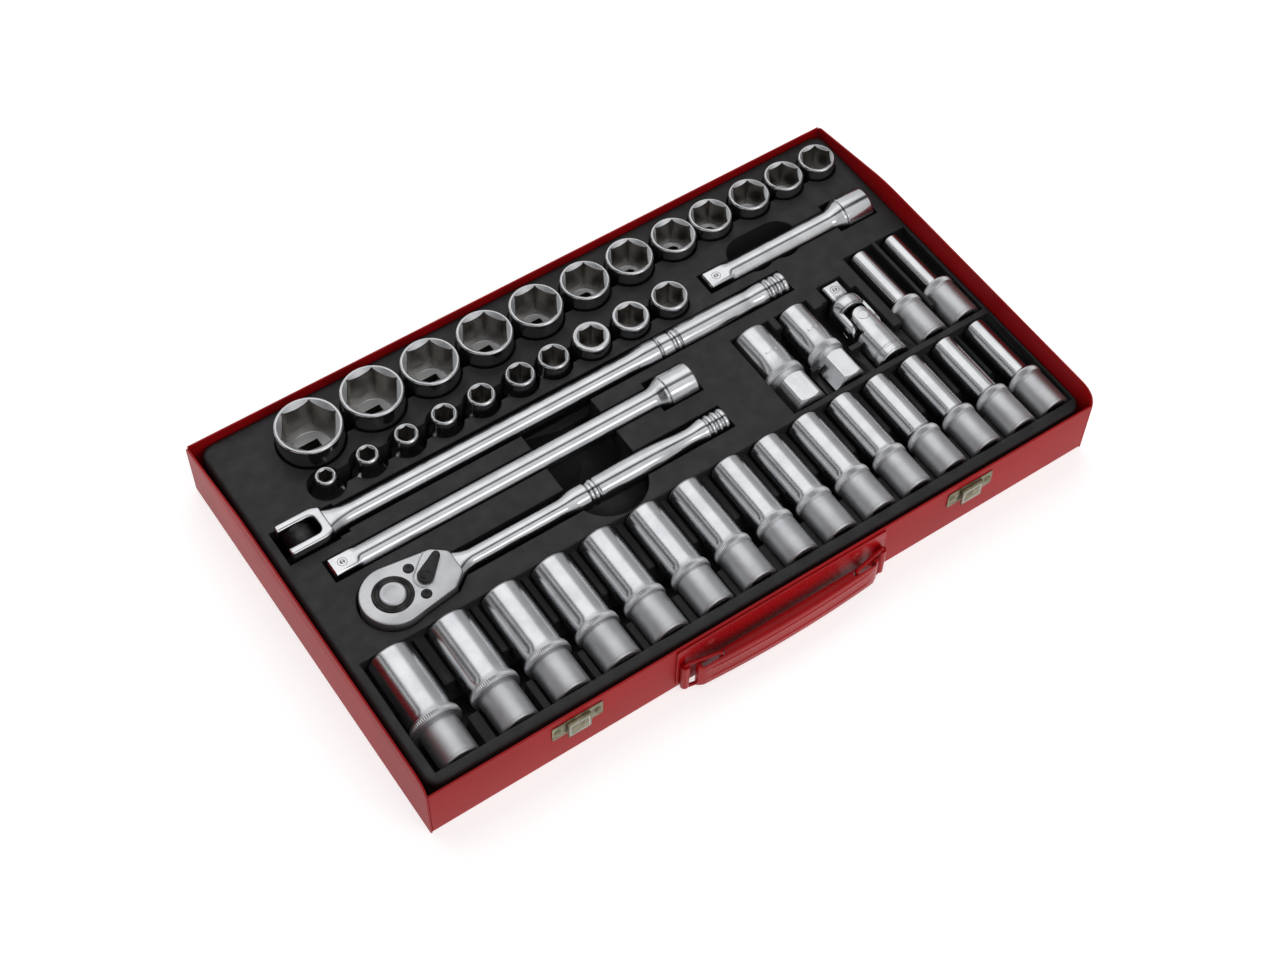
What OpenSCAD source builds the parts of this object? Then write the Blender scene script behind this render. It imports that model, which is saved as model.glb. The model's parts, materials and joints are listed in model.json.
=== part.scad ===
// Half-inch drive socket wrench set in an open steel case with a moulded tool tray.
// Z is up, X runs along the case from left to right, and the carrying handle is on the -Y side.
// The origin is the centre of the case's flat bottom.

/* [Case] */
// Outside length of the case
case_w = 475; // [470:1:480]
// Outside depth of the case
case_d = 279; // [277:1:282]
// Height of the front and back walls
wall_h = 43.4; // [42:0.2:46]
// Height of the two end walls
end_h = 54.5; // [50:0.5:58]
// Thickness of the steel sheet
sheet = 1.2; // [1:0.1:1.4]
// Radius of the end walls' front corners
end_corner_r = 13; // [8:1:14]
// Length of the slope at the back of the end walls
end_slope = 70; // [40:5:90]

/* [Tray] */
// Height of the tray's top face
tray_top = 38; // [37:0.5:39]
// Thickness of the tray's moulded skin
tray_skin = 1.8; // [1.4:0.2:2.2]
// Radius of the tray's corners
tray_corner_r = 9.5; // [6:0.5:12]
// Clearance between a tool and its pocket
pocket_gap = 0.9; // [0.6:0.1:1.2]

/* [Drive] */
// Size of the square drive
square_af = 12.7; // [12.6:0.05:12.7]
// Size of the square holes that take it
square_hole = 13; // [12.95:0.05:13.1]
// Length of each male square
square_len = 16; // [14:0.5:16]

/* [Sockets] */
// Height of the standing sockets' feet above the case's underside
stand_z = 9; // [8:0.5:12]
// Length of the deep sockets
deep_len = 79; // [77:1:80]
// Length of a deep socket's drive part
deep_drive_len = 27; // [24:1:30]
// Level of the top of every tool that lies in the tray
lying_top = 43.5; // [43:0.5:44]

/* [Handle] */
// Place of the handle's middle along the case
handle_x = 2.5; // [-4:0.5:4]
// Distance from the handle's middle to each link pivot
pivot_x = 71; // [69:0.5:73]
// Diameter of the bent wire links
wire_d = 2.4; // [2:0.1:2.6]
// Height of the grip
grip_h = 22; // [20:0.5:22.4]

/* [Hidden] */
$fn = 96;

// Standing sockets: sizes and the X places of their axes
back_sizes = [32, 30, 28, 27, 26, 24, 23, 22, 21, 20, 19, 18];
back_x = [-170.5, -126, -84.5, -44.5, -6.5, 31, 65.5, 100, 129.5, 161, 189.5, 217];
back_line_y = 127.5;
front_sizes = [8, 9, 10, 11, 12, 13, 14, 15, 16, 17];
front_x = [-178.5, -150, -123, -96.5, -70, -42, -17.5, 10.5, 40, 69.5];
front_row_y = 73;

// Deep sockets: sizes and the X places of their axes
deep_sizes = [24, 23, 22, 21, 20, 19, 18, 17, 16, 15, 14, 13, 12, 11, 10];
deep_x = [-206, -167, -131.5, -97.5, -64.5, -32, -1.5, 29, 58, 87, 115, 142, 169, 196, 222];
deep_y = -124.5;
pair_sizes = [9, 8];
pair_x = [195.5, 221.5];
upper_y = -38.5;
bay_wall_gap = 2;

// Spark plug sockets: hexagon size, barrel diameter and X place
plug_sizes = [21, 16];
plug_d = [28, 24];
plug_x = [99, 131];
plug_len = 65;

// Universal joint, lying along Y
uj_x = 164;
uj_r = 12;
uj_z = lying_top - uj_r;
uj_len = 68.7;
uj_cross_y = upper_y + 33.7;
uj_pin_r = 3;

// Extension bars, lying along X with the square at the left end
bar_r = 7.75;
bar_z = 35;
bar_female_r = 12;
bar_female_len = 20;
long_bar = [-206.7, 18.3, 254];
short_bar = [98.3, 73.4, 127];

// Ratchet, lying along X with the square down
rat_x = -186.4;
rat_y = -18.2;
rat_z = 35;
rat_r = 20;
rat_half = 8;
rat_drive_r = 12.5;
rat_lever_x = rat_x + 21.8;
rat_end_x = 47.5;

// Breaker bar, lying along X with the fork at the left end
brk_y = 47.8;
brk_z = 35.5;
brk_tip_x = -221.5;
brk_pivot_x = -210.5;
brk_fork_half = 11.75;
brk_gap_half = 6.75;
brk_slot = 20.5;
brk_eye_r = 9.5;
brk_pin_r = 3;
brk_end_x = 141;

// Tray outline
tray_x0 = -231.5;
tray_x1 = case_w / 2 - sheet - 0.3;
tray_y0 = -133.7;
tray_y1 = case_d / 2 - sheet - 0.3;
far = 60;
trough_ease = 0.3;

// Handle parts
front_y = -case_d / 2;
plate_half = 75;
plate_t = 1.2;
grip_z = 5.2;
barrel_r = 2.7;
pivot_y = front_y - 3.6;
link_dx = 22;
link_dy = 4.45;
pin_fit = 0.05;

// Catches
catch_dx = 141;
catch_z = 31.5;

// Rivets
rivet_r = 1.5;
rivet_hole_r = 1.6;
catch_rivet_x = 13.6;
plate_rivet_x = 52;
plate_rivet_z = 35;

function deep_socket_names() = [for (s = concat(deep_sizes, pair_sizes)) str("deep_socket_", two(s))];
function two(s) = s < 10 ? str("0", s) : str(s);
function socket_names() = [for (s = concat(front_sizes, back_sizes)) str("socket_", two(s))];

// Sizes that follow from a socket's hexagon
function socket_od(s) = s < 15 ? 1.15 * s + 3.9 : max(24, 1.25 * s + 2);
function socket_len(s) = s > 28 ? 44 : s > 24 ? 42 : s > 22 ? 40 : 38;
function base_od(s) = s < 15 ? 22 : socket_od(s);
function back_y(s) = back_line_y - socket_od(s) / 2;
function deep_hex_od(s) = s < 15 ? socket_od(s) : socket_od(s) - 1.5;
function deep_collar_od(s) = s < 15 ? 23 : socket_od(s) + 0.5;
function deep_drive_od(s) = s < 15 ? 22.5 : s < 20 ? 23.5 : 25;
function deep_z(s) = lying_top - deep_collar_od(s) / 2;

// ---- Shared shapes ----

module hex_hole(s, depth) {
    cylinder(h = depth, r = (s + 0.2) / sqrt(3), $fn = 6);
}

module square_bar(size, length) {
    translate([-size / 2, -size / 2, 0])
        cube([size, size, length]);
}

// Male square with a chamfered tip, from z = 0 up, and its detent ball on the +X side
module male_square(length, ball = true) {
    intersection() {
        square_bar(square_af, length);
        union() {
            cylinder(h = length - 1, r = square_af * 0.66);
            translate([0, 0, length - 1])
                cylinder(h = 1, r1 = square_af * 0.66, r2 = square_af * 0.66 - 1.2);
        }
    }
    if (ball)
        translate([square_af / 2 - 1.1, 0, length * 0.52])
            sphere(r = 2, $fn = 32);
}

// Rounded barrel from a list of [z, radius] points
module turned(points) {
    rotate_extrude()
        polygon(concat([[0, points[0][0]]], [for (p = points) [p[1], p[0]]], [[0, points[len(points) - 1][0]]]));
}

// ---- Case ----

// Side view of an end wall, from the front at 0 to the back at case_d
module end_profile() {
    square([case_d, wall_h - 2]);
    translate([end_corner_r, 0])
        square([case_d - end_corner_r - end_slope, end_h]);
    translate([end_corner_r, end_h - end_corner_r])
        circle(r = end_corner_r);
    square([end_corner_r, end_h - end_corner_r]);
    polygon([[case_d - end_slope, 0], [case_d, 0], [case_d, wall_h], [case_d - end_slope, end_h]]);
}

module end_wall(x, thickness) {
    translate([x, -case_d / 2, 0])
        rotate([90, 0, 90])
            linear_extrude(thickness)
                children();
}

// Places of the rivets on the front wall
module at_catch_rivets() {
    for (side = [-1, 1])
        for (x = [-catch_rivet_x, catch_rivet_x])
            translate([handle_x - 1.5 + side * catch_dx + x, front_y, catch_z])
                children();
}

module at_plate_rivets() {
    for (x = [-plate_rivet_x, plate_rivet_x])
        translate([handle_x + x, front_y, plate_rivet_z])
            children();
}

module rivet_hole() {
    rotate([90, 0, 0])
        cylinder(h = 5, r = rivet_hole_r, center = true);
}

module case_shell() {
    color([0.62, 0.13, 0.13])
        difference() {
            union() {
                translate([-case_w / 2, -case_d / 2, 0])
                    cube([case_w, case_d, sheet]);
                translate([-case_w / 2, -case_d / 2, 0])
                    cube([case_w, sheet, wall_h]);
                translate([-case_w / 2, case_d / 2 - sheet, 0])
                    cube([case_w, sheet, wall_h]);
                end_wall(-case_w / 2, sheet)
                    end_profile();
                end_wall(case_w / 2 - sheet, sheet)
                    end_profile();
            }
            at_catch_rivets()
                rivet_hole();
            at_plate_rivets()
                rivet_hole();
        }
}

// ---- Tray ----

module tray_block(inset, bottom, top) {
    r = tray_corner_r - inset;
    x0 = tray_x0 + inset;
    x1 = tray_x1 - inset;
    y0 = tray_y0 + inset;
    y1 = tray_y1 - inset;
    translate([0, 0, bottom])
        linear_extrude(top - bottom)
            union() {
                translate([x0 + r, y0])
                    square([x1 - x0 - 2 * r, y1 - y0]);
                translate([x0, y0 + r])
                    square([x1 - x0, y1 - y0 - 2 * r]);
                for (x = [x0 + r, x1 - r])
                    for (y = [y0 + r, y1 - r])
                        translate([x, y])
                            circle(r = r);
            }
}

// Round pocket from z up, grown by g
module well(x, y, r, z, g) {
    translate([x, y, z - g])
        cylinder(h = far, r = r + g);
}

// Box pocket from z up, grown by g
module box_pocket(x0, x1, y0, y1, z, g) {
    translate([x0 - g, y0 - g, z - g])
        cube([x1 - x0 + 2 * g, y1 - y0 + 2 * g, far]);
}

// Trough with a round floor for a tool of radius r that lies along Y
module trough_y(x, y0, y1, z, r, g) {
    translate([x, y0 - g, z])
        rotate([-90, 0, 0])
            cylinder(h = y1 - y0 + 2 * g, r = r + g);
    box_pocket(x - r + trough_ease, x + r - trough_ease, y0, y1, z + g, g);
}

// Trough with a round floor for a tool of radius r that lies along X
module trough_x(x0, x1, y, z, r, g) {
    translate([x0 - g, y, z])
        rotate([0, 90, 0])
            cylinder(h = x1 - x0 + 2 * g, r = r + g);
    box_pocket(x0, x1, y - r + trough_ease, y + r - trough_ease, z + g, g);
}

module standing_pockets(g) {
    for (i = [0 : len(back_sizes) - 1])
        well(back_x[i], back_y(back_sizes[i]), socket_od(back_sizes[i]) / 2 + pocket_gap, stand_z, g);
    for (i = [0 : len(back_sizes) - 2])
        box_pocket(back_x[i], back_x[i + 1], back_y(back_sizes[i]) - 7, back_y(back_sizes[i]) + 7, 14, g);
    for (i = [0 : len(front_sizes) - 1])
        well(front_x[i], front_row_y, base_od(front_sizes[i]) / 2 + pocket_gap, stand_z, g);
    box_pocket(front_x[0], front_x[len(front_x) - 1], front_row_y - 5, front_row_y + 6, 16, g);
}

module deep_pockets(g) {
    bay_x0 = deep_x[0] - deep_collar_od(deep_sizes[0]) / 2 - bay_wall_gap;
    last = len(deep_x) - 1;
    bay_x1 = deep_x[last] + deep_collar_od(deep_sizes[last]) / 2 + 0.6;
    y0 = deep_y - 1.6;
    y1 = deep_y + deep_len + 1.2;
    for (i = [0 : len(deep_sizes) - 1])
        trough_y(deep_x[i], y0, y1, deep_z(deep_sizes[i]), deep_collar_od(deep_sizes[i]) / 2 + 0.5, g);
    box_pocket(bay_x0, bay_x1, y0, y1, 31, g);
    box_pocket(bay_x0, bay_x1, y0 + 23, y0 + 47, 9, g);
}

module upper_pockets(g) {
    y0 = upper_y - 1.6;
    for (i = [0, 1])
        trough_y(plug_x[i], y0, upper_y + plug_len + 1.2, lying_top - plug_d[i] / 2, plug_d[i] / 2 + pocket_gap, g);
    for (i = [0, 1])
        trough_y(pair_x[i], y0, upper_y + deep_len + 1.2, deep_z(pair_sizes[i]), 11.5 + 0.5, g);
    trough_y(uj_x, y0, uj_cross_y + 24.5, uj_z, uj_r + 1.4, g);
    box_pocket(uj_x - 9.2, uj_x + 9.2, uj_cross_y + 20, upper_y + uj_len + 1.6, uj_z - 8, g);
    box_pocket(plug_x[0], uj_x, y0 + 22, upper_y + plug_len - 8, 12, g);
    box_pocket(plug_x[0], pair_x[1], y0, y0 + 20, 31, g);
}

module extension_pocket(bar, g) {
    x1 = bar[0] + bar[2];
    female_x = x1 - bar_female_len - 8;
    trough_x(bar[0] - 1.5, x1, bar[1], bar_z, bar_r + pocket_gap, g);
    trough_x(female_x, x1 + 1.5, bar[1], bar_z, bar_female_r + pocket_gap, g);
}

module ratchet_pocket(g) {
    well(rat_x, rat_y, rat_r + 1.6, rat_z - rat_half - 0.6, g);
    well(rat_x, rat_y, rat_drive_r + 2, 9, g);
    translate([rat_x, rat_y, rat_z - rat_half - 0.6 - g])
        linear_extrude(far)
            polygon([
                [0, -21 - g],
                [34.6 + 0.41 * g, -16.55 - 0.95 * g],
                [43.8 + g, -9.4 - 0.49 * g],
                [43.8 + g, 9.4 + 0.49 * g],
                [34.6 + 0.41 * g, 16.55 + 0.95 * g],
                [0, 21 + g]
            ]);
    trough_x(rat_x + 40, rat_end_x + 1.5, rat_y, rat_z, 9.7, g);
}

module breaker_pocket(g) {
    box_pocket(brk_tip_x - 3, brk_tip_x + 31, brk_y - 13, brk_y + 13, 23.5, g);
    box_pocket(brk_pivot_x - 14, brk_pivot_x + 11.5, brk_y - 8.5, brk_y + 8.5, 7, g);
    trough_x(brk_tip_x + 20, brk_end_x + 1.5, brk_y, brk_z, 8.8 + pocket_gap, g);
    trough_x(brk_tip_x + 20, brk_tip_x + 38, brk_y, brk_z, 11.9, g);
}

module finger_pockets(g) {
    box_pocket(-63.5, -13.5, -18, 40, 12, g);
    well(-38.5, -18, 25, 12, g);
    box_pocket(137, 158, 73, 94, 14, g);
    well(137, 78.5, 15.5, 14, g);
    well(158, 78.5, 15.5, 14, g);
}

module tray_pockets(g) {
    standing_pockets(g);
    deep_pockets(g);
    upper_pockets(g);
    extension_pocket(long_bar, g);
    extension_pocket(short_bar, g);
    ratchet_pocket(g);
    breaker_pocket(g);
    finger_pockets(g);
}

module tool_tray() {
    color([0.13, 0.13, 0.14])
        difference() {
            union() {
                difference() {
                    tray_block(0, sheet, tray_top);
                    tray_block(tray_skin, 0, tray_top - tray_skin);
                }
                intersection() {
                    tray_block(0.4, sheet + 1, tray_top - 0.4);
                    tray_pockets(tray_skin);
                }
            }
            tray_pockets(0);
        }
}

// ---- Carrying handle ----

module handle_plate() {
    color([0.66, 0.05, 0.09])
        difference() {
            union() {
                translate([handle_x - plate_half, front_y - plate_t, 4.5])
                    cube([2 * plate_half, plate_t, 37]);
                for (side = [-1, 1])
                    translate([handle_x + side * pivot_x, pivot_y, 5])
                        cylinder(h = 22.7, r = barrel_r);
            }
            for (side = [-1, 1])
                translate([handle_x + side * pivot_x, pivot_y, 0])
                    cylinder(h = far, r = wire_d / 2 + pin_fit);
            at_plate_rivets()
                rivet_hole();
        }
}

// Wire loop that joins the barrel on the plate to the grip
module handle_link(side) {
    x0 = handle_x + side * pivot_x;
    x1 = x0 - side * link_dx;
    y1 = pivot_y - link_dy;
    arm = norm([link_dx, link_dy]);
    turn = atan2(y1 - pivot_y, x1 - x0);
    low = 3.4;
    high = 29.3;
    color([0.68, 0.07, 0.1])
        union() {
            for (p = [[x0, pivot_y], [x1, y1]])
                translate([p[0], p[1], low - wire_d / 2])
                    cylinder(h = high - low + wire_d, d = wire_d);
            for (z = [low, high])
                translate([x0, pivot_y, z])
                    rotate([0, 90, turn])
                        cylinder(h = arm, d = wire_d - 0.1);
        }
}

module handle_link_left() {
    handle_link(-1);
}

module handle_link_right() {
    handle_link(1);
}

// Plan of the grip between its straight inner edge and a bowed face at distance d in front of the case
module grip_plan(d, half) {
    bow_r = 800;
    intersection() {
        translate([handle_x, front_y - d + bow_r])
            circle(r = bow_r, $fn = 360);
        translate([handle_x - half, front_y - 14])
            square([2 * half, 14 - 5.5]);
    }
}

module handle_grip() {
    slot_half = 1.6;
    color([0.7, 0.1, 0.12])
        difference() {
            union() {
                translate([0, 0, grip_z])
                    linear_extrude(grip_h)
                        grip_plan(12.6, 65);
                for (z = [grip_z + 5, grip_z + grip_h - 7])
                    translate([0, 0, z])
                        linear_extrude(2)
                            grip_plan(13.1, 58);
            }
            translate([0, 0, grip_z + 1.4])
                linear_extrude(grip_h - 2.8)
                    intersection() {
                        grip_plan(11.2, 80);
                        translate([handle_x - 63.6, front_y - 14])
                            square([127.2, 20]);
                    }
            for (side = [-1, 1])
                translate([handle_x + side * 54.5 - 8, pivot_y - link_dy - slot_half, 0])
                    cube([16, 2 * slot_half, far]);
        }
}

// ---- Catches and rivets on the front wall ----

module catch_plates() {
    color([0.62, 0.6, 0.42])
        for (side = [-1, 1])
            translate([handle_x - 1.5 + side * catch_dx, front_y, catch_z])
                difference() {
                    union() {
                        translate([-17, -0.8, -6.5])
                            cube([34, 0.8, 13]);
                        translate([-7.7, -3.2, 4.9])
                            cube([15.4, 3.2, 0.8]);
                        translate([-7.7, -3.2, -8])
                            cube([15.4, 0.8, 13.7]);
                    }
                    for (x = [-catch_rivet_x, catch_rivet_x])
                        translate([x, 0, 0])
                            rivet_hole();
                }
}

// Rivet with a low round head in front of a sheet of thickness t
module rivet(t, head_r) {
    rotate([90, 0, 0])
        turned([
            [-sheet - 0.8, 2], [-sheet, 2], [-sheet, rivet_r], [t, rivet_r], [t, head_r],
            [t + 0.7, head_r - 0.3], [t + 1.1, 0.6]
        ]);
}

module rivets() {
    color([0.7, 0.68, 0.55])
        union() {
            at_catch_rivets()
                rivet(0.8, 2.3);
            at_plate_rivets()
                rivet(plate_t, 2.6);
        }
}

// ---- Sockets ----

// Standing socket with its square hole down and its hexagon up
module short_socket(s) {
    od = socket_od(s);
    base = base_od(s);
    height = socket_len(s);
    neck = s < 15 ? 20 : height - 6;
    blend_h = s < 15 ? 5 : 2;
    color([0.76, 0.77, 0.78])
        difference() {
            turned([
                [0, base / 2 - 1], [1, base / 2], [neck, base / 2],
                [neck + blend_h, od / 2], [height - 0.8, od / 2], [height, od / 2 - 0.8]
            ]);
            translate([0, 0, 18])
                hex_hole(s, height);
            translate([0, 0, height - 1])
                cylinder(h = 1.01, r1 = s / sqrt(3) - 0.4, r2 = s / sqrt(3) + 0.5);
            translate([0, 0, -1])
                square_bar(square_hole, 17);
            cylinder(h = 20, r = min(5.5, s * 0.42));
        }
}

// Deep socket along +Z with its square hole at z = 0
module deep_socket(s) {
    hex_r = deep_hex_od(s) / 2;
    collar_r = deep_collar_od(s) / 2;
    drive_r = deep_drive_od(s) / 2;
    c0 = deep_drive_len;
    color([0.76, 0.77, 0.78])
        difference() {
            turned([
                [0, drive_r - 1], [1, drive_r], [c0 - 1, drive_r], [c0, collar_r], [c0 + 2, collar_r],
                [c0 + 7, hex_r], [deep_len - 0.8, hex_r], [deep_len, hex_r - 0.8]
            ]);
            translate([0, 0, deep_len - 28])
                hex_hole(s, 40);
            translate([0, 0, 18])
                cylinder(h = 40, r = s * 0.49);
            translate([0, 0, -1])
                square_bar(square_hole, 17);
            cylinder(h = 20, r = min(5.5, s * 0.42));
        }
}

module lay_along_y(x, y, z) {
    translate([x, y, z])
        rotate([-90, 0, 0])
            children();
}

module back_socket(i) {
    s = back_sizes[i];
    translate([back_x[i], back_y(s), stand_z])
        short_socket(s);
}

module front_socket(i) {
    translate([front_x[i], front_row_y, stand_z])
        short_socket(front_sizes[i]);
}

module front_deep_socket(i) {
    s = deep_sizes[i];
    lay_along_y(deep_x[i], deep_y, deep_z(s))
        deep_socket(s);
}

module pair_deep_socket(i) {
    s = pair_sizes[i];
    lay_along_y(pair_x[i], upper_y, deep_z(s))
        deep_socket(s);
}

// Spark plug socket: long barrel, knurled band and an outside hexagon round the square hole
module plug_socket(i) {
    s = plug_sizes[i];
    r = plug_d[i] / 2;
    hex_r = (r - 1.2) / cos(30) * 0.98;
    color([0.76, 0.77, 0.78])
        lay_along_y(plug_x[i], upper_y, lying_top - r)
            difference() {
                union() {
                    intersection() {
                        cylinder(h = 24, r = hex_r, $fn = 6);
                        cylinder(h = 24, r = r);
                    }
                    turned([
                        [22, r - 2], [23.5, r - 1], [25, r], [31, r],
                        [32, r - 0.6], [plug_len - 0.8, r - 0.6], [plug_len, r - 1.4]
                    ]);
                }
                translate([0, 0, plug_len - 22])
                    hex_hole(s, 30);
                translate([0, 0, 18])
                    cylinder(h = 40, r = s * 0.49);
                translate([0, 0, -1])
                    square_bar(square_hole, 17);
                cylinder(h = 20, r = 5.5);
            }
}

module spark_plug_socket_21() {
    plug_socket(0);
}

module spark_plug_socket_16() {
    plug_socket(1);
}

// ---- Extension bars ----

module extension_bar(bar) {
    length = bar[2];
    female = length - bar_female_len;
    color([0.76, 0.77, 0.78])
        translate([bar[0], bar[1], bar_z])
            rotate([0, 90, 0])
                difference() {
                    union() {
                        translate([0, 0, square_len])
                            mirror([0, 0, 1])
                                rotate([0, 0, 180])
                                    male_square(square_len);
                        turned([
                            [square_len - 0.5, 6.3], [square_len + 1.5, bar_r], [female - 8, bar_r],
                            [female - 1, bar_female_r - 0.6], [female + 1, bar_female_r],
                            [length - 0.8, bar_female_r], [length, bar_female_r - 0.8]
                        ]);
                    }
                    translate([0, 0, length - 17])
                        square_bar(square_hole, 20);
                }
}

module extension_bar_long() {
    extension_bar(long_bar);
}

module extension_bar_short() {
    extension_bar(short_bar);
}

// ---- Ratchet ----

module ratchet_grip() {
    x0 = rat_x + 36;
    end = rat_end_x - x0;
    translate([x0, rat_y, rat_z])
        rotate([0, 90, 0])
            turned([
                [0, 7], [10, 6.3], [82, 6.3], [90, 8.4], [99, 8.4], [100, 7.9], [102, 8.4], [110, 8.4], [125, 8.9],
                [145, 8.6], [165, 7], [174, 6.6], [182, 8.2], [end - 13, 8.2], [end - 12, 7.7], [end - 11, 8.2],
                [end - 6, 8.2], [end - 5, 7.7], [end - 4, 8.2], [end - 1, 8.2], [end, 7.2]
            ]);
}

module ratchet_body() {
    color([0.78, 0.79, 0.8])
        difference() {
            union() {
                translate([rat_x, rat_y, rat_z - rat_half])
                    cylinder(h = 2 * rat_half, r = rat_r);
                translate([rat_x, rat_y, rat_z - rat_half])
                    linear_extrude(2 * rat_half)
                        polygon([[2, -rat_r + 0.1], [34, -15], [43, -8], [43, 8], [34, 15], [2, rat_r - 0.1]]);
                ratchet_grip();
                for (y = [-10.2, 10.2])
                    translate([rat_x + 16.3, rat_y + y, rat_z + rat_half])
                        cylinder(h = 0.6, r1 = 2.9, r2 = 2.5);
            }
            translate([rat_x, rat_y, rat_z - far])
                cylinder(h = 2 * far, r = rat_drive_r + 0.08);
            translate([rat_lever_x, rat_y, rat_z + rat_half - 5])
                cylinder(h = 10, r = 3 + pin_fit);
        }
}

// Gear that carries the square drive and shows as a ring in the top of the head
module ratchet_drive() {
    color([0.2, 0.2, 0.21])
        translate([rat_x, rat_y, rat_z])
            difference() {
                union() {
                    translate([0, 0, -rat_half + 0.5])
                        cylinder(h = 2 * rat_half, r = rat_drive_r);
                    translate([0, 0, -rat_half + 1])
                        mirror([0, 0, 1])
                            male_square(square_len);
                }
                translate([0, 0, rat_half - 5.5])
                    cylinder(h = 10, r = 8.2);
                translate([0, 0, -5])
                    cylinder(h = 20, r = 3.1);
            }
}

// Quick release button in the middle of the gear
module ratchet_button() {
    color([0.8, 0.81, 0.82])
        translate([rat_x, rat_y, rat_z + rat_half - 2.5]) {
            turned([[0, 8.1], [3, 8.1], [3.8, 7.2], [4.1, 5]]);
            translate([0, 0, -6])
                cylinder(h = 7, r = 3);
        }
}

module ratchet_lever() {
    tip = [12.2, 8.9];
    color([0.12, 0.12, 0.13])
        translate([rat_lever_x, rat_y, rat_z + rat_half + 0.3]) {
            translate([0, 0, -5])
                cylinder(h = 6, r = 3);
            difference() {
                union() {
                    cylinder(h = 2.6, r = 5);
                    linear_extrude(2.2)
                        rotate(atan2(tip[1], tip[0]))
                            polygon([[0, -4.6], [norm(tip), -2.2], [norm(tip), 2.2], [0, 4.6]]);
                    translate([tip[0], tip[1], 0])
                        cylinder(h = 2.6, r = 2.3);
                }
                translate([0, 0, 2])
                    cylinder(h = 5, r = 1.8);
            }
        }
}

// ---- Breaker bar ----

module breaker_shaft() {
    x0 = brk_tip_x + 27;
    end = brk_end_x - x0;
    translate([x0, brk_y, brk_z])
        rotate([0, 90, 0])
            turned([
                [0, 11], [2, 11], [12, 7.2], [218, 7.2], [228, 8.7], [245, 8.7], [246, 8.2], [248, 8.7], [253, 8.7],
                [254, 8.2], [256, 8.6], [275, 8.7], [300, 8.2], [308, 7.6], [316, 8.4], [324, 8.4],
                [end - 9, 8.4], [end - 8, 7.9], [end - 7, 8.4], [end - 1, 8.4], [end, 7.4]
            ]);
}

module breaker_bar() {
    color([0.76, 0.77, 0.78])
        union() {
            difference() {
                union() {
                    translate([brk_tip_x, brk_y - brk_fork_half, brk_z - 9.5])
                        cube([29, 2 * brk_fork_half, 19]);
                    breaker_shaft();
                }
                translate([brk_tip_x - 1, brk_y, 0])
                    linear_extrude(2 * far)
                        union() {
                            translate([0, -brk_gap_half])
                                square([brk_slot, 2 * brk_gap_half]);
                            translate([0, -brk_gap_half + 4])
                                square([brk_slot + 4, 2 * brk_gap_half - 8]);
                            for (y = [-brk_gap_half + 4, brk_gap_half - 4])
                                translate([brk_slot, y])
                                    circle(r = 4);
                        }
                translate([brk_pivot_x, brk_y - 20, brk_z])
                    rotate([-90, 0, 0])
                        cylinder(h = 40, r = brk_pin_r + pin_fit);
            }
            translate([brk_pivot_x, brk_y - brk_fork_half, brk_z])
                rotate([-90, 0, 0])
                    cylinder(h = 2 * brk_fork_half, r = brk_pin_r);
        }
}

// Swivel head, hanging down between the fork's ears
module breaker_head() {
    half = brk_gap_half - 0.35;
    color([0.16, 0.16, 0.17])
        translate([brk_pivot_x, brk_y, brk_z])
            difference() {
                union() {
                    translate([0, -half, 0])
                        rotate([-90, 0, 0])
                            cylinder(h = 2 * half, r = brk_eye_r);
                    translate([-square_af / 2, -half, -brk_eye_r - 1.5])
                        cube([square_af, 2 * half, brk_eye_r]);
                    translate([0, 0, -26 + square_len])
                        mirror([0, 0, 1])
                            male_square(square_len);
                }
                translate([0, -20, 0])
                    rotate([-90, 0, 0])
                        cylinder(h = 40, r = brk_pin_r + pin_fit);
            }
}

// ---- Universal joint, built along +Z and laid along +Y ----

// Two rounded ears on either side of the cross, with the ears' pin holes
module joint_ears(reach) {
    difference() {
        intersection() {
            union() {
                for (side = [-1, 1])
                    translate([side * 9.8, 0, 0])
                        rotate([0, 90, 0])
                            cylinder(h = 4, r = 7, center = true);
                for (side = [-1, 1])
                    translate([side * 9.8 - 2, -7, 0])
                        cube([4, 14, reach]);
            }
            translate([0, 0, -10])
                cylinder(h = 40, r = uj_r);
        }
        rotate([0, 90, 0])
            cylinder(h = far, r = uj_pin_r + pin_fit, center = true);
    }
}

module universal_joint_body() {
    color([0.76, 0.77, 0.78])
        lay_along_y(uj_x, upper_y, uj_z) {
            difference() {
                turned([[0, uj_r - 0.8], [0.8, uj_r], [23.5, uj_r]]);
                translate([0, 0, -1])
                    square_bar(square_hole, 17);
                translate([0, 0, 33.7])
                    sphere(r = 14);
            }
            translate([0, 0, 33.7])
                mirror([0, 0, 1])
                    rotate([0, 0, 90])
                        joint_ears(12);
        }
}

module universal_joint_cross() {
    color([0.5, 0.5, 0.52])
        translate([uj_x, uj_cross_y, uj_z])
            union() {
                cube([11, 11, 11], center = true);
                cylinder(h = 23, r = uj_pin_r, center = true);
                rotate([0, 90, 0])
                    cylinder(h = 23, r = uj_pin_r, center = true);
            }
}

module universal_joint_yoke() {
    color([0.76, 0.77, 0.78])
        lay_along_y(uj_x, uj_cross_y, uj_z) {
            joint_ears(12);
            difference() {
                turned([[10.2, uj_r], [19, uj_r], [23, 7.5]]);
                sphere(r = 14);
            }
            translate([0, 0, 22.5])
                rotate([0, 0, -90])
                    male_square(12.5);
        }
}

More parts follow.
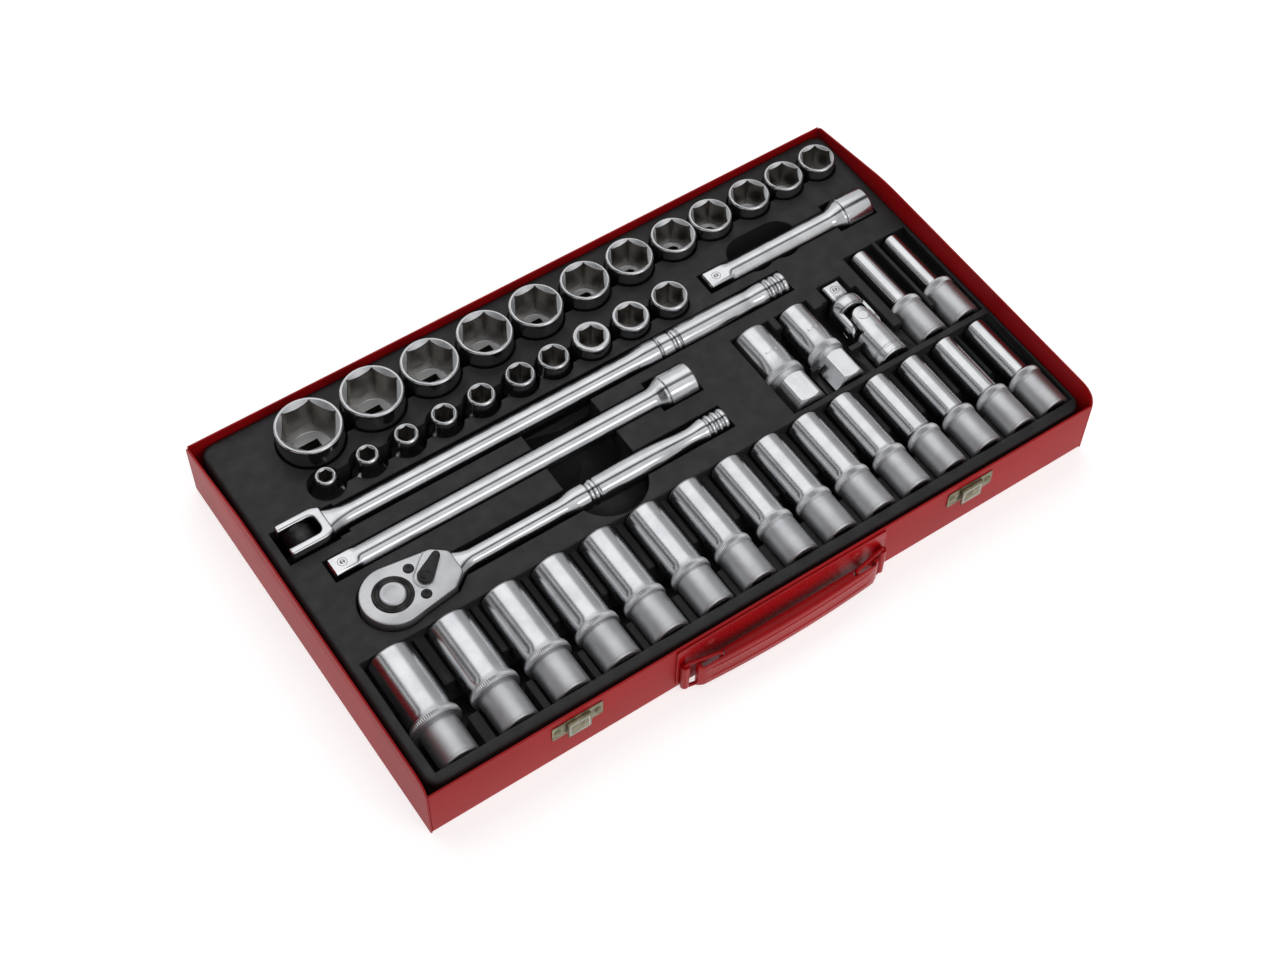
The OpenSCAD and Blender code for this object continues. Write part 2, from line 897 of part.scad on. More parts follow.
case_shell();
tool_tray();
handle_plate();
catch_plates();
rivets();
handle_grip();
handle_link_left();
handle_link_right();
for (i = [0 : len(back_sizes) - 1])
    back_socket(i);
for (i = [0 : len(front_sizes) - 1])
    front_socket(i);
for (i = [0 : len(deep_sizes) - 1])
    front_deep_socket(i);
for (i = [0 : len(pair_sizes) - 1])
    pair_deep_socket(i);
spark_plug_socket_21();
spark_plug_socket_16();
extension_bar_long();
extension_bar_short();
ratchet_body();
ratchet_drive();
ratchet_button();
ratchet_lever();
breaker_bar();
breaker_head();
universal_joint_body();
universal_joint_cross();
universal_joint_yoke();
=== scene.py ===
import json
import math

import bmesh
import bpy
from mathutils import Matrix, Vector
from mathutils.geometry import tessellate_polygon


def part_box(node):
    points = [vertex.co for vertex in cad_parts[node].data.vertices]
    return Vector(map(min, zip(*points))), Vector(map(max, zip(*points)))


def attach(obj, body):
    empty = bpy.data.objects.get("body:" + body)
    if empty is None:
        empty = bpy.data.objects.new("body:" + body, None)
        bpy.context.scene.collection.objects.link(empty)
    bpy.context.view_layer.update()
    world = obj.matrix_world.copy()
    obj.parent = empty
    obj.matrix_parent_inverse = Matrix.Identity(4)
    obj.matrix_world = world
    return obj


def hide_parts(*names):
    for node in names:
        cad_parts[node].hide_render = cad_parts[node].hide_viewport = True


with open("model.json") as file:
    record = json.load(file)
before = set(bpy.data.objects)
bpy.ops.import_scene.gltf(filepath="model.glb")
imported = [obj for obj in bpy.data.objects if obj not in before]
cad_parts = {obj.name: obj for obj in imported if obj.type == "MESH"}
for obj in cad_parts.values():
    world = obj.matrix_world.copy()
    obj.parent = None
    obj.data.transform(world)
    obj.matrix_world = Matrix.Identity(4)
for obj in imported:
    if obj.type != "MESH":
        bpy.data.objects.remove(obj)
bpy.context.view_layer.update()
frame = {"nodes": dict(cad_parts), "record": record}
print("frame loaded")

# Everything is drawn in millimetres and turned to metres as its mesh is made.
toMetres = 0.001
full = 2 * math.pi


def linear(hexText):  # sRGB hex to the linear colour that the shaders want
    parts = [int(hexText[i:i + 2], 16) / 255 for i in (1, 3, 5)]
    return [c / 12.92 if c <= 0.04045 else ((c + 0.055) / 1.055) ** 2.4 for c in parts] + [1.0]


def add(tree, kind, inputs=None, ramp=None, **settings):  # one node, with its settings and links
    made = tree.nodes.new(kind)
    for name, value in settings.items():
        setattr(made, name, value)
    for name, value in (inputs or {}).items():
        if isinstance(value, bpy.types.NodeSocket):
            tree.links.new(value, made.inputs[name])
        else:
            made.inputs[name].default_value = value
    if ramp:
        stops = made.color_ramp.elements
        while len(stops) < len(ramp):
            stops.new(1.0)
        for stop, (place, colour) in zip(stops, ramp):
            stop.position = place
            stop.color = colour
    return made


def grey(value):
    return [value, value, value, 1.0]


def newMaterial(name):
    made = bpy.data.materials.new(name)
    made.use_nodes = True
    tree = made.node_tree
    tree.nodes.clear()
    shader = add(tree, "ShaderNodeBsdfPrincipled")
    add(tree, "ShaderNodeOutputMaterial", {"Surface": shader.outputs["BSDF"]})
    place = add(tree, "ShaderNodeTexCoord").outputs["Object"]
    return made, tree, shader, place


def noise(tree, place, width, detail):  # width of its grains in mm
    made = add(tree, "ShaderNodeTexNoise", {"Vector": place, "Scale": 1000 / width, "Detail": detail})
    return made.outputs["Fac"]


def colourBy(tree, shader, pattern, *stops):  # stops are (value of the pattern, colour)
    tone = add(tree, "ShaderNodeValToRGB", {"Fac": pattern},
               ramp=[(at, linear(colour)) for at, colour in stops])
    tree.links.new(tone.outputs["Color"], shader.inputs["Base Color"])


def roughnessBy(tree, shader, pattern, highest, start, end):  # start belongs to a pattern of 0.3
    made = add(tree, "ShaderNodeMapRange",
               {"Value": pattern, "From Min": 0.3, "From Max": highest, "To Min": start, "To Max": end})
    tree.links.new(made.outputs["Result"], shader.inputs["Roughness"])


def reliefBy(tree, shader, pattern, strength, depth):  # depth in mm
    made = add(tree, "ShaderNodeBump",
               {"Height": pattern, "Strength": strength, "Distance": depth * toMetres})
    tree.links.new(made.outputs["Normal"], shader.inputs["Normal"])


# Chrome plate over chrome vanadium steel. Satin parts are bead blasted before plating, so they read as
# soft light grey with a fine grain; polished parts are buffed along their length, so they show long streaks.
chromeValues = {
    "tone": "#c9cacc",
    "toneWorn": "#bdbec1",
    "broached": "#b0aca6",  # inside the sockets, where the plating is thin
    "broachedWorn": "#98938d",
    "grain": 0.45,  # mm, blasted grain, drawn coarser than the real 0.1 mm so that it shows
    "buffWidth": 0.7,  # mm across a buffing streak
    "buffLength": 60,  # mm along it
    "handling": 14,  # mm, size of the faint cloudy patches left by hands
}


def chrome(name, rough, roughSpread, grainDepth, along=None, tones=("toneWorn", "tone")):
    made, tree, shader, place = newMaterial(name)
    v = chromeValues
    cloud = noise(tree, place, v["handling"], 3.0)
    if along:
        stretch = [v["buffWidth"] / v["buffLength"] if axis == along else 1.0 for axis in "XYZ"]
        placed = add(tree, "ShaderNodeMapping", {"Vector": place, "Scale": stretch}).outputs["Vector"]
        fine = noise(tree, placed, v["buffWidth"], 2.0)
    else:
        fine = noise(tree, place, v["grain"], 2.0)
    colourBy(tree, shader, cloud, (0.35, v[tones[0]]), (0.6, v[tones[1]]))
    roughnessBy(tree, shader, fine, 0.7, rough, rough + roughSpread)
    reliefBy(tree, shader, fine, grainDepth, 0.04)
    shader.inputs["Metallic"].default_value = 1.0
    return made


# Red stoving enamel, sprayed on folded sheet steel: a warm red with a soft gloss and a light orange peel.
enamelValues = {
    "red": "#a60c12",
    "redThin": "#980a10",
    "peel": 1.6,  # mm between the bumps of the orange peel
    "patch": 70,  # mm, slow drift of the spray's thickness
    "dust": 0.5,  # mm, specks in the paint
}


def enamel(name, rough):
    made, tree, shader, place = newMaterial(name)
    v = enamelValues
    colourBy(tree, shader, noise(tree, place, v["patch"], 2.0), (0.35, v["redThin"]), (0.65, v["red"]))
    roughnessBy(tree, shader, noise(tree, place, v["dust"], 0.0), 0.75, rough, rough + 0.12)
    reliefBy(tree, shader, noise(tree, place, v["peel"], 1.0), 0.25, 0.05)
    shader.inputs["IOR"].default_value = 1.5
    shader.inputs["Specular IOR Level"].default_value = 0.16
    return made


# Vacuum formed polystyrene sheet: near black, matt, with the fine leather grain of its mould.
styreneValues = {
    "black": "#1e1e1f",
    "blackWorn": "#252526",
    "grain": 0.55,  # mm between the cells of the leather grain
    "scuff": 9,  # mm, where tools have rubbed it
}


def styrene(name):
    made, tree, shader, place = newMaterial(name)
    v = styreneValues
    cells = add(tree, "ShaderNodeTexVoronoi", {"Vector": place, "Scale": 1000 / v["grain"]})
    scuff = noise(tree, place, v["scuff"], 5.0)
    colourBy(tree, shader, scuff, (0.4, v["black"]), (0.72, v["blackWorn"]))
    roughnessBy(tree, shader, scuff, 0.75, 0.62, 0.48)
    reliefBy(tree, shader, cells.outputs["Distance"], 0.3, 0.08)
    shader.inputs["IOR"].default_value = 1.59
    shader.inputs["Specular IOR Level"].default_value = 0.32
    return made


# Yellow passivated zinc plate on pressed steel: dull straw coloured metal, cloudy where the dye pooled.
zincValues = {
    "light": "#99957c",
    "dark": "#6d6a54",
    "cloud": 5,  # mm
    "grain": 0.4,  # mm
}

# Black oxide on hardened steel: a dark, slightly brown metal with a thin film of oil.
oxideValues = {
    "light": "#3a3939",  # where it is rubbed
    "dark": "#1d1d1f",
    "cloud": 6,  # mm
    "grain": 0.4,  # mm
}


def treatedMetal(name, v, rough, metallic):
    made, tree, shader, place = newMaterial(name)
    fine = noise(tree, place, v["grain"], 1.0)
    colourBy(tree, shader, noise(tree, place, v["cloud"], 4.0), (0.38, v["dark"]), (0.68, v["light"]))
    roughnessBy(tree, shader, fine, 0.7, rough, rough + 0.14)
    reliefBy(tree, shader, fine, 0.25, 0.04)
    shader.inputs["Metallic"].default_value = metallic
    return made


satinChrome = chrome("chromePlateSatin", 0.38, 0.16, 0.9)
polishedAlongX = chrome("chromePlatePolishedAlongX", 0.13, 0.08, 0.02, "X")
polishedAlongY = chrome("chromePlatePolishedAlongY", 0.2, 0.06, 0.01, "Y")
polishedAlongZ = chrome("chromePlatePolishedAlongZ", 0.14, 0.1, 0.05, "Z")
broachedSteel = chrome("chromePlateBroached", 0.28, 0.14, 0.3, "Z", ("broachedWorn", "broached"))
redEnamel = enamel("enamelSprayedRed", 0.4)
redEnamelGloss = enamel("enamelSprayedRedGloss", 0.22)
blackStyrene = styrene("polystyreneVacuumFormedBlack")
blackMoulded = styrene("nylonMouldedBlack")
yellowZinc = treatedMetal("zincYellowPassivated", zincValues, 0.34, 1.0)
blackOxide = treatedMetal("blackOxideSteel", oxideValues, 0.36, 0.85)
print("materials made")


# A shape is (points, faces, marks): marks give each face its place in the piece's list of materials.

def cad(node):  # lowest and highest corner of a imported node, in mm
    low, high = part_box(node)
    return low / toMetres, high / toMetres


def reach(kind, size, angle):  # distance from the axis to the outline: radius of a round, width across flats
    if kind == "round":
        return size
    sector = math.pi / 2 if kind == "square" else math.pi / 3
    turn = sector / 2 if kind == "square" else 0
    away = size / 2 / math.cos((angle + turn) % sector - sector / 2)
    fromCorner = abs((angle + sector / 2) % sector - sector / 2)
    if kind == "relieved" and fromCorner < math.radians(3):  # hexagon with a small groove in each corner
        away += 0.016 * size
    return away


def ring(count, z, kind, size, limit=1000.0, lift=None):  # lift changes z with the distance from the axis
    made = []
    for i in range(count):
        angle = full * i / count
        away = min(reach(kind, size, angle), limit)
        made.append(Vector((away * math.cos(angle), away * math.sin(angle), z + (lift(away) if lift else 0))))
    return made


def softRing(count, z, halfX, halfY, power):  # between an ellipse, at a power of 2, and a rectangle
    made = []
    for i in range(count):
        angle = full * i / count
        c, s = math.cos(angle), math.sin(angle)
        scale = (abs(c) ** power + abs(s) ** power) ** (-1 / power)
        made.append(Vector((halfX * c * scale, halfY * s * scale, z)))
    return made


def softNeck(count, stations):  # stations are (place along the bar, half width, half thickness, power)
    return [(softRing(count, x, halfZ, halfY, power), 0) for x, halfY, halfZ, power in stations]


def between(first, second, share):
    return [a.lerp(b, share) for a, b in zip(first, second)]


def filleted(corners, closed=False, steps=4):  # corners are (a, b, radius); rounded ones become short curves
    made = []
    last = len(corners) - 1
    for i, (a, b, radius) in enumerate(corners):
        here = Vector((a, b))
        if radius <= 0 or (not closed and i in (0, last)):
            made.append(here)
            continue
        before = Vector(corners[i - 1][:2]) - here
        after = Vector(corners[(i + 1) % len(corners)][:2]) - here
        start = here + before.normalized() * min(radius, before.length * 0.48)
        end = here + after.normalized() * min(radius, after.length * 0.48)
        for k in range(steps + 1):
            t = k / steps
            made.append(start * (1 - t) ** 2 + here * 2 * t * (1 - t) + end * t ** 2)
    return made


def rectangle(x0, y0, x1, y1, radius, steps=4):
    return filleted([(x0, y0, radius), (x1, y0, radius), (x1, y1, radius), (x0, y1, radius)], closed=True,
                    steps=steps)


def raised(loop, z):  # a flat loop at a height
    return [Vector((p.x, p.y, z)) for p in loop]


def fill(loops, firsts):  # triangles between an outer loop and its holes, as indices
    flat = [firsts[i] + k for i, loop in enumerate(loops) for k in range(len(loop))]
    return [tuple(flat[k] for k in three) for three in tessellate_polygon(loops)]


def loft(bands, closed=False, caps=True):  # bands are (ring, mark): mark is for the strip after that ring
    points = [p for ringPoints, mark in bands for p in ringPoints]
    count = len(bands[0][0])
    total = len(bands)
    faces, marks = [], []
    for i in range(total if closed else total - 1):
        a, b = i * count, (i + 1) % total * count
        for k in range(count):
            n = (k + 1) % count
            faces.append((a + k, a + n, b + n, b + k))
            marks.append(bands[i][1])
    if caps and not closed:
        for i in (0, total - 1):
            triangles = fill([bands[i][0]], [i * count])
            faces.extend(triangles)
            marks.extend([bands[max(0, i - 1)][1]] * len(triangles))
    return points, faces, marks


def hoops(count, mark, *profile):  # round rings; profile is (z, radius) pairs
    return [(ring(count, z, "round", radius), mark) for z, radius in profile]


def rounded(count, corners, mark=0, steps=4):  # round rings along a filleted profile
    return hoops(count, mark, *filleted(corners, steps=steps))


def turned(profile, count=72, mark=0):  # profile is a list of (z, radius)
    return loft(hoops(count, mark, *profile))


def moved(shape, matrix):
    points, faces, marks = shape
    return [matrix @ Vector(p) for p in points], faces, marks


def marked(shape, mark):
    points, faces, marks = shape
    return points, faces, [mark] * len(faces)


def joined(*shapes):
    points, faces, marks = [], [], []
    for somePoints, someFaces, someMarks in shapes:
        first = len(points)
        points.extend(somePoints)
        faces.extend(tuple(first + k for k in face) for face in someFaces)
        marks.extend(someMarks)
    return points, faces, marks


def inset(loop, distance):  # an anticlockwise loop moved inwards, or outwards by a distance below 0
    made = []
    for i, here in enumerate(loop):
        a = (here - loop[i - 1]).normalized()
        b = (loop[(i + 1) % len(loop)] - here).normalized()
        inward = Vector((-a.y - b.y, a.x + b.x))
        inward = inward.normalized() if inward.length > 0.01 else Vector((-a.y, a.x))
        stretch = 1 / max(0.5, inward.dot(Vector((-a.y, a.x))))
        made.append(here + inward * distance * stretch)
    return made


def circle(x, y, radius, count=32):
    return [Vector((x + radius * math.cos(full * i / count), y + radius * math.sin(full * i / count)))
            for i in range(count)]


def plate(outline, holes, bottom, top, edge, mark=0, steps=3):  # flat plate with rounded outer edges
    stations = []
    for k in range(steps + 1):
        turn = math.pi / 2 * k / steps
        stations.append((edge * (1 - math.sin(turn)), bottom + edge * (1 - math.cos(turn))))
    stations += [(away, top + bottom - z) for away, z in reversed(stations)]
    rings = []
    for away, z in stations:
        loop = inset(outline, away) if away > 1e-6 else outline
        rings.append((raised(loop, z), mark))
    points, faces, marks = loft(rings, caps=False)
    count = len(outline)
    starts = []
    for hole in holes:
        starts.append(len(points))
        points += raised(hole, bottom) + raised(hole, top)
    for start, hole in zip(starts, holes):
        size = len(hole)
        for k in range(size):
            n = (k + 1) % size
            faces.append((start + k, start + n, start + size + n, start + size + k))
    for level in (0, 1):
        firsts = [level * (len(rings) - 1) * count]
        firsts += [start + level * len(h) for start, h in zip(starts, holes)]
        loops = [[points[f + k].to_2d().to_3d() for k in range(n)]
                 for f, n in zip(firsts, [count] + [len(h) for h in holes])]
        faces.extend(fill(loops, firsts))
    marks += [mark] * (len(faces) - len(marks))
    return points, faces, marks


def sweep(path, radius, count=12, closed=False, mark=0):  # round wire along a path of points
    bands = []
    last = len(path) - 1
    across = None
    for i, here in enumerate(path):
        ahead = path[(i + 1) % len(path)] if closed or i < last else path[last]
        behind = path[i - 1] if closed or i > 0 else path[0]
        along = (ahead - behind).normalized()
        if across is None:
            across = along.orthogonal().normalized()
        across = (across - along * across.dot(along)).normalized()
        other = along.cross(across)
        turns = [full * k / count for k in range(count)]
        bands.append(([here + (across * math.cos(turn) + other * math.sin(turn)) * radius for turn in turns],
                      mark))
    return loft(bands, closed=closed)


def newObject(name, data):
    made = bpy.data.objects.new(name, data)
    bpy.context.scene.collection.objects.link(made)
    return made


def meshObject(name, shape, materials, sharp=32):
    points, faces, marks = shape
    mesh = bpy.data.meshes.new(name)
    mesh.from_pydata([Vector(p) * toMetres for p in points], [], faces)
    mesh.polygons.foreach_set("material_index", marks)
    for material in materials:
        mesh.materials.append(material)
    work = bmesh.new()
    work.from_mesh(mesh)
    bmesh.ops.remove_doubles(work, verts=work.verts, dist=2e-6)
    bmesh.ops.recalc_face_normals(work, faces=work.faces)
    work.to_mesh(mesh)
    work.free()
    smoothed(mesh, sharp)
    return newObject(name, mesh)


def smoothed(mesh, sharp):  # smooth shading, with real edges where faces meet at more than this many degrees
    mesh.shade_smooth()
    mesh.set_sharp_from_angle(angle=math.radians(sharp))


def cutBy(target, cutters, sharp=32):  # a solid less other solids
    for cutter in cutters:
        change = target.modifiers.new("cut", "BOOLEAN")
        change.object = cutter
        change.solver = "EXACT"
    bpy.context.view_layer.update()
    ready = target.evaluated_get(bpy.context.evaluated_depsgraph_get())
    mesh = bpy.data.meshes.new_from_object(ready)
    target.modifiers.clear()
    old = target.data
    target.data = mesh
    bpy.data.meshes.remove(old)
    for cutter in cutters:
        bpy.data.objects.remove(cutter)
    smoothed(mesh, sharp)
    return target


bodyOf = {node: body for body, members in frame["record"]["behaviour"]["bodies"].items() for node in members}


def stands(made, node):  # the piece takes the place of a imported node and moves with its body
    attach(made, bodyOf[node])
    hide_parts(node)
    return made


def piece(node, shape, materials, sharp=32):
    return stands(meshObject(node + "_piece", shape, materials, sharp), node)


def layAlongY(x, y, z):  # built along Z, then laid along Y
    return Matrix.Translation((x, y, z)) @ Matrix.Rotation(-math.pi / 2, 4, "X")


def layAlongX(x, y, z):  # built along Z, then laid along X, with its own -X side up
    return Matrix.Translation((x, y, z)) @ Matrix.Rotation(math.pi / 2, 4, "Y")


def layAgainstY(x, y, z):  # built along Z, then laid to point towards -Y
    return Matrix.Translation((x, y, z)) @ Matrix.Rotation(math.pi / 2, 4, "X")


caseValues = {
    "sheet": 1.2,  # thickness of the steel
    "wallHeight": 43.4,
    "bend": 2.2,  # outer radius where the floor turns up into a wall
    "cutEdge": 0.35,  # rounding that the paint gives a cut edge
    "seam": 0.18,  # gap between the folded channel and each end wall
    "frontCorner": 13,
    "backSlope": 70,
}


def buildCase():
    v = caseValues
    low, high = cad("case_shell")
    t, h, bend, cutEdge = v["sheet"], v["wallHeight"], v["bend"], v["cutEdge"]
    section = filleted([
        (low.y, h, cutEdge), (low.y, 0, bend), (high.y, 0, bend), (high.y, h, cutEdge),
        (high.y - t, h, cutEdge), (high.y - t, t, bend - t),
        (low.y + t, t, bend - t), (low.y + t, h, cutEdge),
    ], closed=True)
    ends = [low.x + t + v["seam"], high.x - t - v["seam"]]
    channel = loft([([Vector((x, p.x, p.y)) for p in section], 0) for x in ends])
    end = filleted([
        (low.y, 0, 0.6), (high.y, 0, 0.6), (high.y, h, 4), (high.y - v["backSlope"], high.z, 12),
        (low.y + 0.01, high.z, v["frontCorner"]),
    ], closed=True, steps=8)
    walls = []
    for x in (low.x, high.x - t):
        upright = Matrix(((0, 0, 1, x), (1, 0, 0, 0), (0, 1, 0, 0), (0, 0, 0, 1)))
        walls.append(moved(plate(end, [], 0, t, cutEdge), upright))
    return piece("case_shell", joined(channel, *walls), [redEnamel])


buildCase()
print("case built")


trayValues = {
    "pocketLip": 0.7,  # radius of the formed edge round each pocket
    "outerLip": 3.2,  # radius of the tray's outer edge
    "outerLipRight": 1.1,  # and on the right, where the tool pockets come close to it
    "steps": 4,
}


def topLoops(work, top):  # loops of edges left open by the removed top face
    open_ = {e for e in work.edges if e.is_boundary and all(abs(v.co.z - top) < 1e-6 for v in e.verts)}
    loops = []
    while open_:
        edge = min(open_, key=lambda e: e.index)
        open_.remove(edge)
        start, here = edge.verts
        loop = [start]
        while here is not start:
            loop.append(here)
            edge = next(e for e in here.link_edges if e in open_)
            open_.remove(edge)
            here = edge.other_vert(here)
        loops.append(loop)
    return loops


def loopArea(loop):
    return sum(a.co.x * b.co.y - b.co.x * a.co.y for a, b in zip(loop, loop[1:] + loop[:1])) / 2


def buildTray():
    v = trayValues
    low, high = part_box("tool_tray")
    mesh = frame["nodes"]["tool_tray"].data.copy()
    mesh.materials.clear()
    mesh.materials.append(blackStyrene)
    work = bmesh.new()
    work.from_mesh(mesh)
    bmesh.ops.remove_doubles(work, verts=work.verts, dist=1e-6)
    face = [f for f in work.faces if all(abs(p.co.z - high.z) < 1e-6 for p in f.verts)]
    bmesh.ops.delete(work, geom=face, context="FACES_ONLY")
    work.edges.index_update()
    loops = topLoops(work, high.z)
    loops.sort(key=lambda loop: -abs(loopArea(loop)))
    rims = []
    for number, loop in enumerate(loops):
        if loopArea(loop) < 0:
            loop.reverse()
        flat = [p.co.to_2d() for p in loop]
        inward = [a - b for a, b in zip(inset(flat, toMetres), flat)]  # 1 mm towards the loop's inside
        sign = 1 if number == 0 else -1
        strips = [loop]
        radii = []
        for p in loop:
            outer = v["outerLipRight"] if p.co.x > high.x - 0.012 else v["outerLip"]
            radii.append(outer if number == 0 else v["pocketLip"])
        for k in range(1, v["steps"] + 1):
            turn = math.pi / 2 * k / v["steps"]
            strip = []
            for at, way, radius in zip(flat, inward, radii):
                place = at + way * sign * radius * (1 - math.cos(turn))
                drop = radius * toMetres * (1 - math.sin(turn))
                strip.append(work.verts.new((place.x, place.y, high.z - drop)))
            strips.append(strip)
        for p, radius in zip(loop, radii):
            p.co.z = high.z - radius * toMetres
        for a, b in zip(strips, strips[1:]):
            for k in range(len(a)):
                n = (k + 1) % len(a)
                work.faces.new((a[k], a[n], b[n], b[k]))
        rims.append(strips[-1])
    flatLoops = [[p.co.copy() for p in rim] for rim in rims]
    every = [p for rim in rims for p in rim]
    for three in tessellate_polygon(flatLoops):
        corners = [every[k] for k in three]
        if len(set(corners)) == 3:
            work.faces.new(corners)
    bmesh.ops.recalc_face_normals(work, faces=work.faces)
    work.to_mesh(mesh)
    work.free()
    smoothed(mesh, 35)
    print("tray:", len(loops), "loops,", len(mesh.polygons), "faces")
    return stands(newObject("tool_tray_piece", mesh), "tool_tray")


buildTray()
print("tray built")


handleValues = {
    "plateThick": 1.2,
    "plateCorner": 1.6,
    "barrelRadius": 2.7,
    "barrelBore": 1.3,
    "barrelHeight": 22.7,
    "pivotX": 71,  # from the handle's middle
    "pivotOut": 3.6,  # in front of the case
    "linkReach": 22,
    "linkOut": 4.45,
    "wireRadius": 1.2,
    "wireBend": 1.6,
    "gripHalf": 65,
    "bowRadius": 800,
    "bowOut": 12.6,  # how far the grip's middle stands in front of the case
    "bead": 0.45,
    "gripSheet": 1.4,
    "slotHalf": 1.6,
}
caseLow = cad("case_shell")[0]
plateLow, plateHigh = cad("handle_plate")
handleX = (plateLow.x + plateHigh.x) / 2


def buildHandlePlate():
    v = handleValues
    outline = rectangle(plateLow.x, plateLow.z, plateHigh.x, plateHigh.z, v["plateCorner"])
    upright = Matrix(((1, 0, 0, 0), (0, 0, -1, caseLow.y), (0, 1, 0, 0), (0, 0, 0, 1)))
    parts = [moved(plate(outline, [], 0, v["plateThick"], 0.4), upright)]
    r, bore, h = v["barrelRadius"], v["barrelBore"], v["barrelHeight"]
    for side in (-1, 1):
        profile = [(0, bore), (0, r - 0.4), (0.4, r), (h - 0.4, r), (h, r - 0.4), (h, bore)]
        tube = loft(hoops(32, 0, *profile), closed=True)
        at = (handleX + side * v["pivotX"], caseLow.y - v["pivotOut"], plateLow.z + 0.5)
        parts.append(moved(tube, Matrix.Translation(at)))
    return piece("handle_plate", joined(*parts), [redEnamelGloss])


def wireLoop(start, end, low, high, bend):  # closed loop of wire standing between two upright legs
    run = (end - start).length
    way = (end - start).normalized()
    flat = rectangle(0, low, run, high, bend, steps=6)
    return [Vector((start.x + way.x * p.x, start.y + way.y * p.x, p.y)) for p in flat]


def buildLinks():
    v = handleValues
    for side, node in ((-1, "handle_link_left"), (1, "handle_link_right")):
        low, high = cad(node)
        start = Vector((handleX + side * v["pivotX"], caseLow.y - v["pivotOut"]))
        end = start + Vector((-side * v["linkReach"], -v["linkOut"]))
        path = wireLoop(start, end, low.z + v["wireRadius"], high.z - v["wireRadius"], v["wireBend"])
        piece(node, sweep(path, v["wireRadius"], 14, closed=True), [redEnamelGloss])


def gripSection(x, out, inner, low, high, corner, bead):
    drop = bowDrop(x)
    face = -(out - drop)
    mid = (low + high) / 2
    quarter = (high - low) / 4.4
    loop = [(inner, low, 0.3), (face, low, corner), (face, mid - quarter - 1.6, 0.6)]
    for centre in (mid - quarter, mid + quarter):
        loop += [(face, centre - 1.4, 0.6), (face - bead, centre - 0.7, 0.6),
                 (face - bead, centre + 0.7, 0.6), (face, centre + 1.4, 0.6)]
    loop += [(face, mid + quarter + 1.6, 0.6), (face, high, corner), (inner, high, 0.3)]
    return [Vector((x, caseLow.y + p.x, p.y)) for p in filleted(loop, closed=True, steps=3)]


def bowDrop(x):  # how far the bow has fallen back at a distance from the grip's middle
    radius = handleValues["bowRadius"]
    return radius - math.sqrt(radius ** 2 - (x - handleX) ** 2)


def buildGrip():
    v = handleValues
    low, high = cad("handle_grip")
    half, t = v["gripHalf"], v["gripSheet"]
    stations = [handleX - half + 2 * half * k / 40 for k in range(41)]
    rings = []
    for x in stations:
        ease = max(0.0, abs(x - handleX) - (half - 3)) / 3
        shrink = 1.6 * (1 - math.sqrt(max(0.0, 1 - ease ** 2)))
        bead = v["bead"] if abs(x - handleX) < half - 9 else 0.02
        rings.append((gripSection(x, v["bowOut"] - shrink, -5.5, low.z, high.z, 2.2, bead), 0))
    outer = meshObject("handle_grip_piece", loft(rings), [redEnamelGloss])
    cavity = []
    for k in range(31):
        x = handleX + (half - t) * (2 * k / 30 - 1)
        face = caseLow.y - (v["bowOut"] - t - bowDrop(x))
        section = filleted([(caseLow.y, low.z + t, 0.1), (face, low.z + t, 1.2), (face, high.z - t, 1.2),
                            (caseLow.y, high.z - t, 0.1)], closed=True, steps=3)
        cavity.append(([Vector((x, p.x, p.y)) for p in section], 0))
    cutters = [meshObject("cavity", loft(cavity), [])]
    legY = caseLow.y - v["pivotOut"] - v["linkOut"]
    for side in (-1, 1):
        middle = handleX + side * 54.5
        slotLoop = rectangle(middle - 8, legY - v["slotHalf"], middle + 8, legY + v["slotHalf"], 1.2)
        shape = loft([(raised(slotLoop, z), 0) for z in (-5, 60)])
        cutters.append(meshObject("slot", shape, []))
    stands(cutBy(outer, cutters), "handle_grip")


buildHandlePlate()
buildLinks()
buildGrip()
print("handle built")


catchValues = {
    "plateThick": 0.8,
    "plateHalf": (17, 6.5),
    "holeX": 13.6,
    "holeRadius": 1.55,
    "hookHalf": 7.7,
    "hookOut": 3.2,
    "hookSheet": 0.8,
}
rivetValues = {"headRadius": 2.3, "plateHeadRadius": 2.6, "headHeight": 1.1}


def catchCentres():  # middles of the two catches along the case, and the level of their rivets
    low, high = cad("catch_plates")
    half = catchValues["plateHalf"]
    return [low.x + half[0], high.x - half[0]], high.z - half[1]


def buildCatches():
    v = catchValues
    xs, level = catchCentres()
    low = cad("catch_plates")[0]
    halfX, halfZ = v["plateHalf"]
    t, out, half = v["hookSheet"], v["hookOut"], v["hookHalf"]
    parts = []
    for x in xs:
        outline = rectangle(-halfX, -halfZ, halfX, halfZ, 1)
        holes = [circle(side * v["holeX"], 0, v["holeRadius"], 20) for side in (-1, 1)]
        upright = Matrix(((1, 0, 0, x), (0, 0, -1, caseLow.y), (0, 1, 0, level), (0, 0, 0, 1)))
        parts.append(moved(plate(outline, holes, 0, v["plateThick"], 0.25), upright))
        top, bottom = level + 5.7, low.z
        section = filleted([(0, top, 0), (-out, top, 1.0), (-out, bottom, 0.3), (-out + t, bottom, 0.3),
                            (-out + t, top - t, 0.5), (0, top - t, 0)], closed=True)
        hook = loft([([Vector((px, caseLow.y + p.x, p.y)) for p in section], 0)
                     for px in (x - half, x + half)])
        parts.append(hook)
        frameBead = wireLoop(Vector((x - half + 1.4, caseLow.y - out + 0.3)),
                             Vector((x + half - 1.4, caseLow.y - out + 0.3)), bottom + 1.5, top - 2.2, 1.0)
        parts.append(sweep(frameBead, 0.45, 8, closed=True, mark=1))
    return piece("catch_plates", joined(*parts), [yellowZinc, satinChrome])


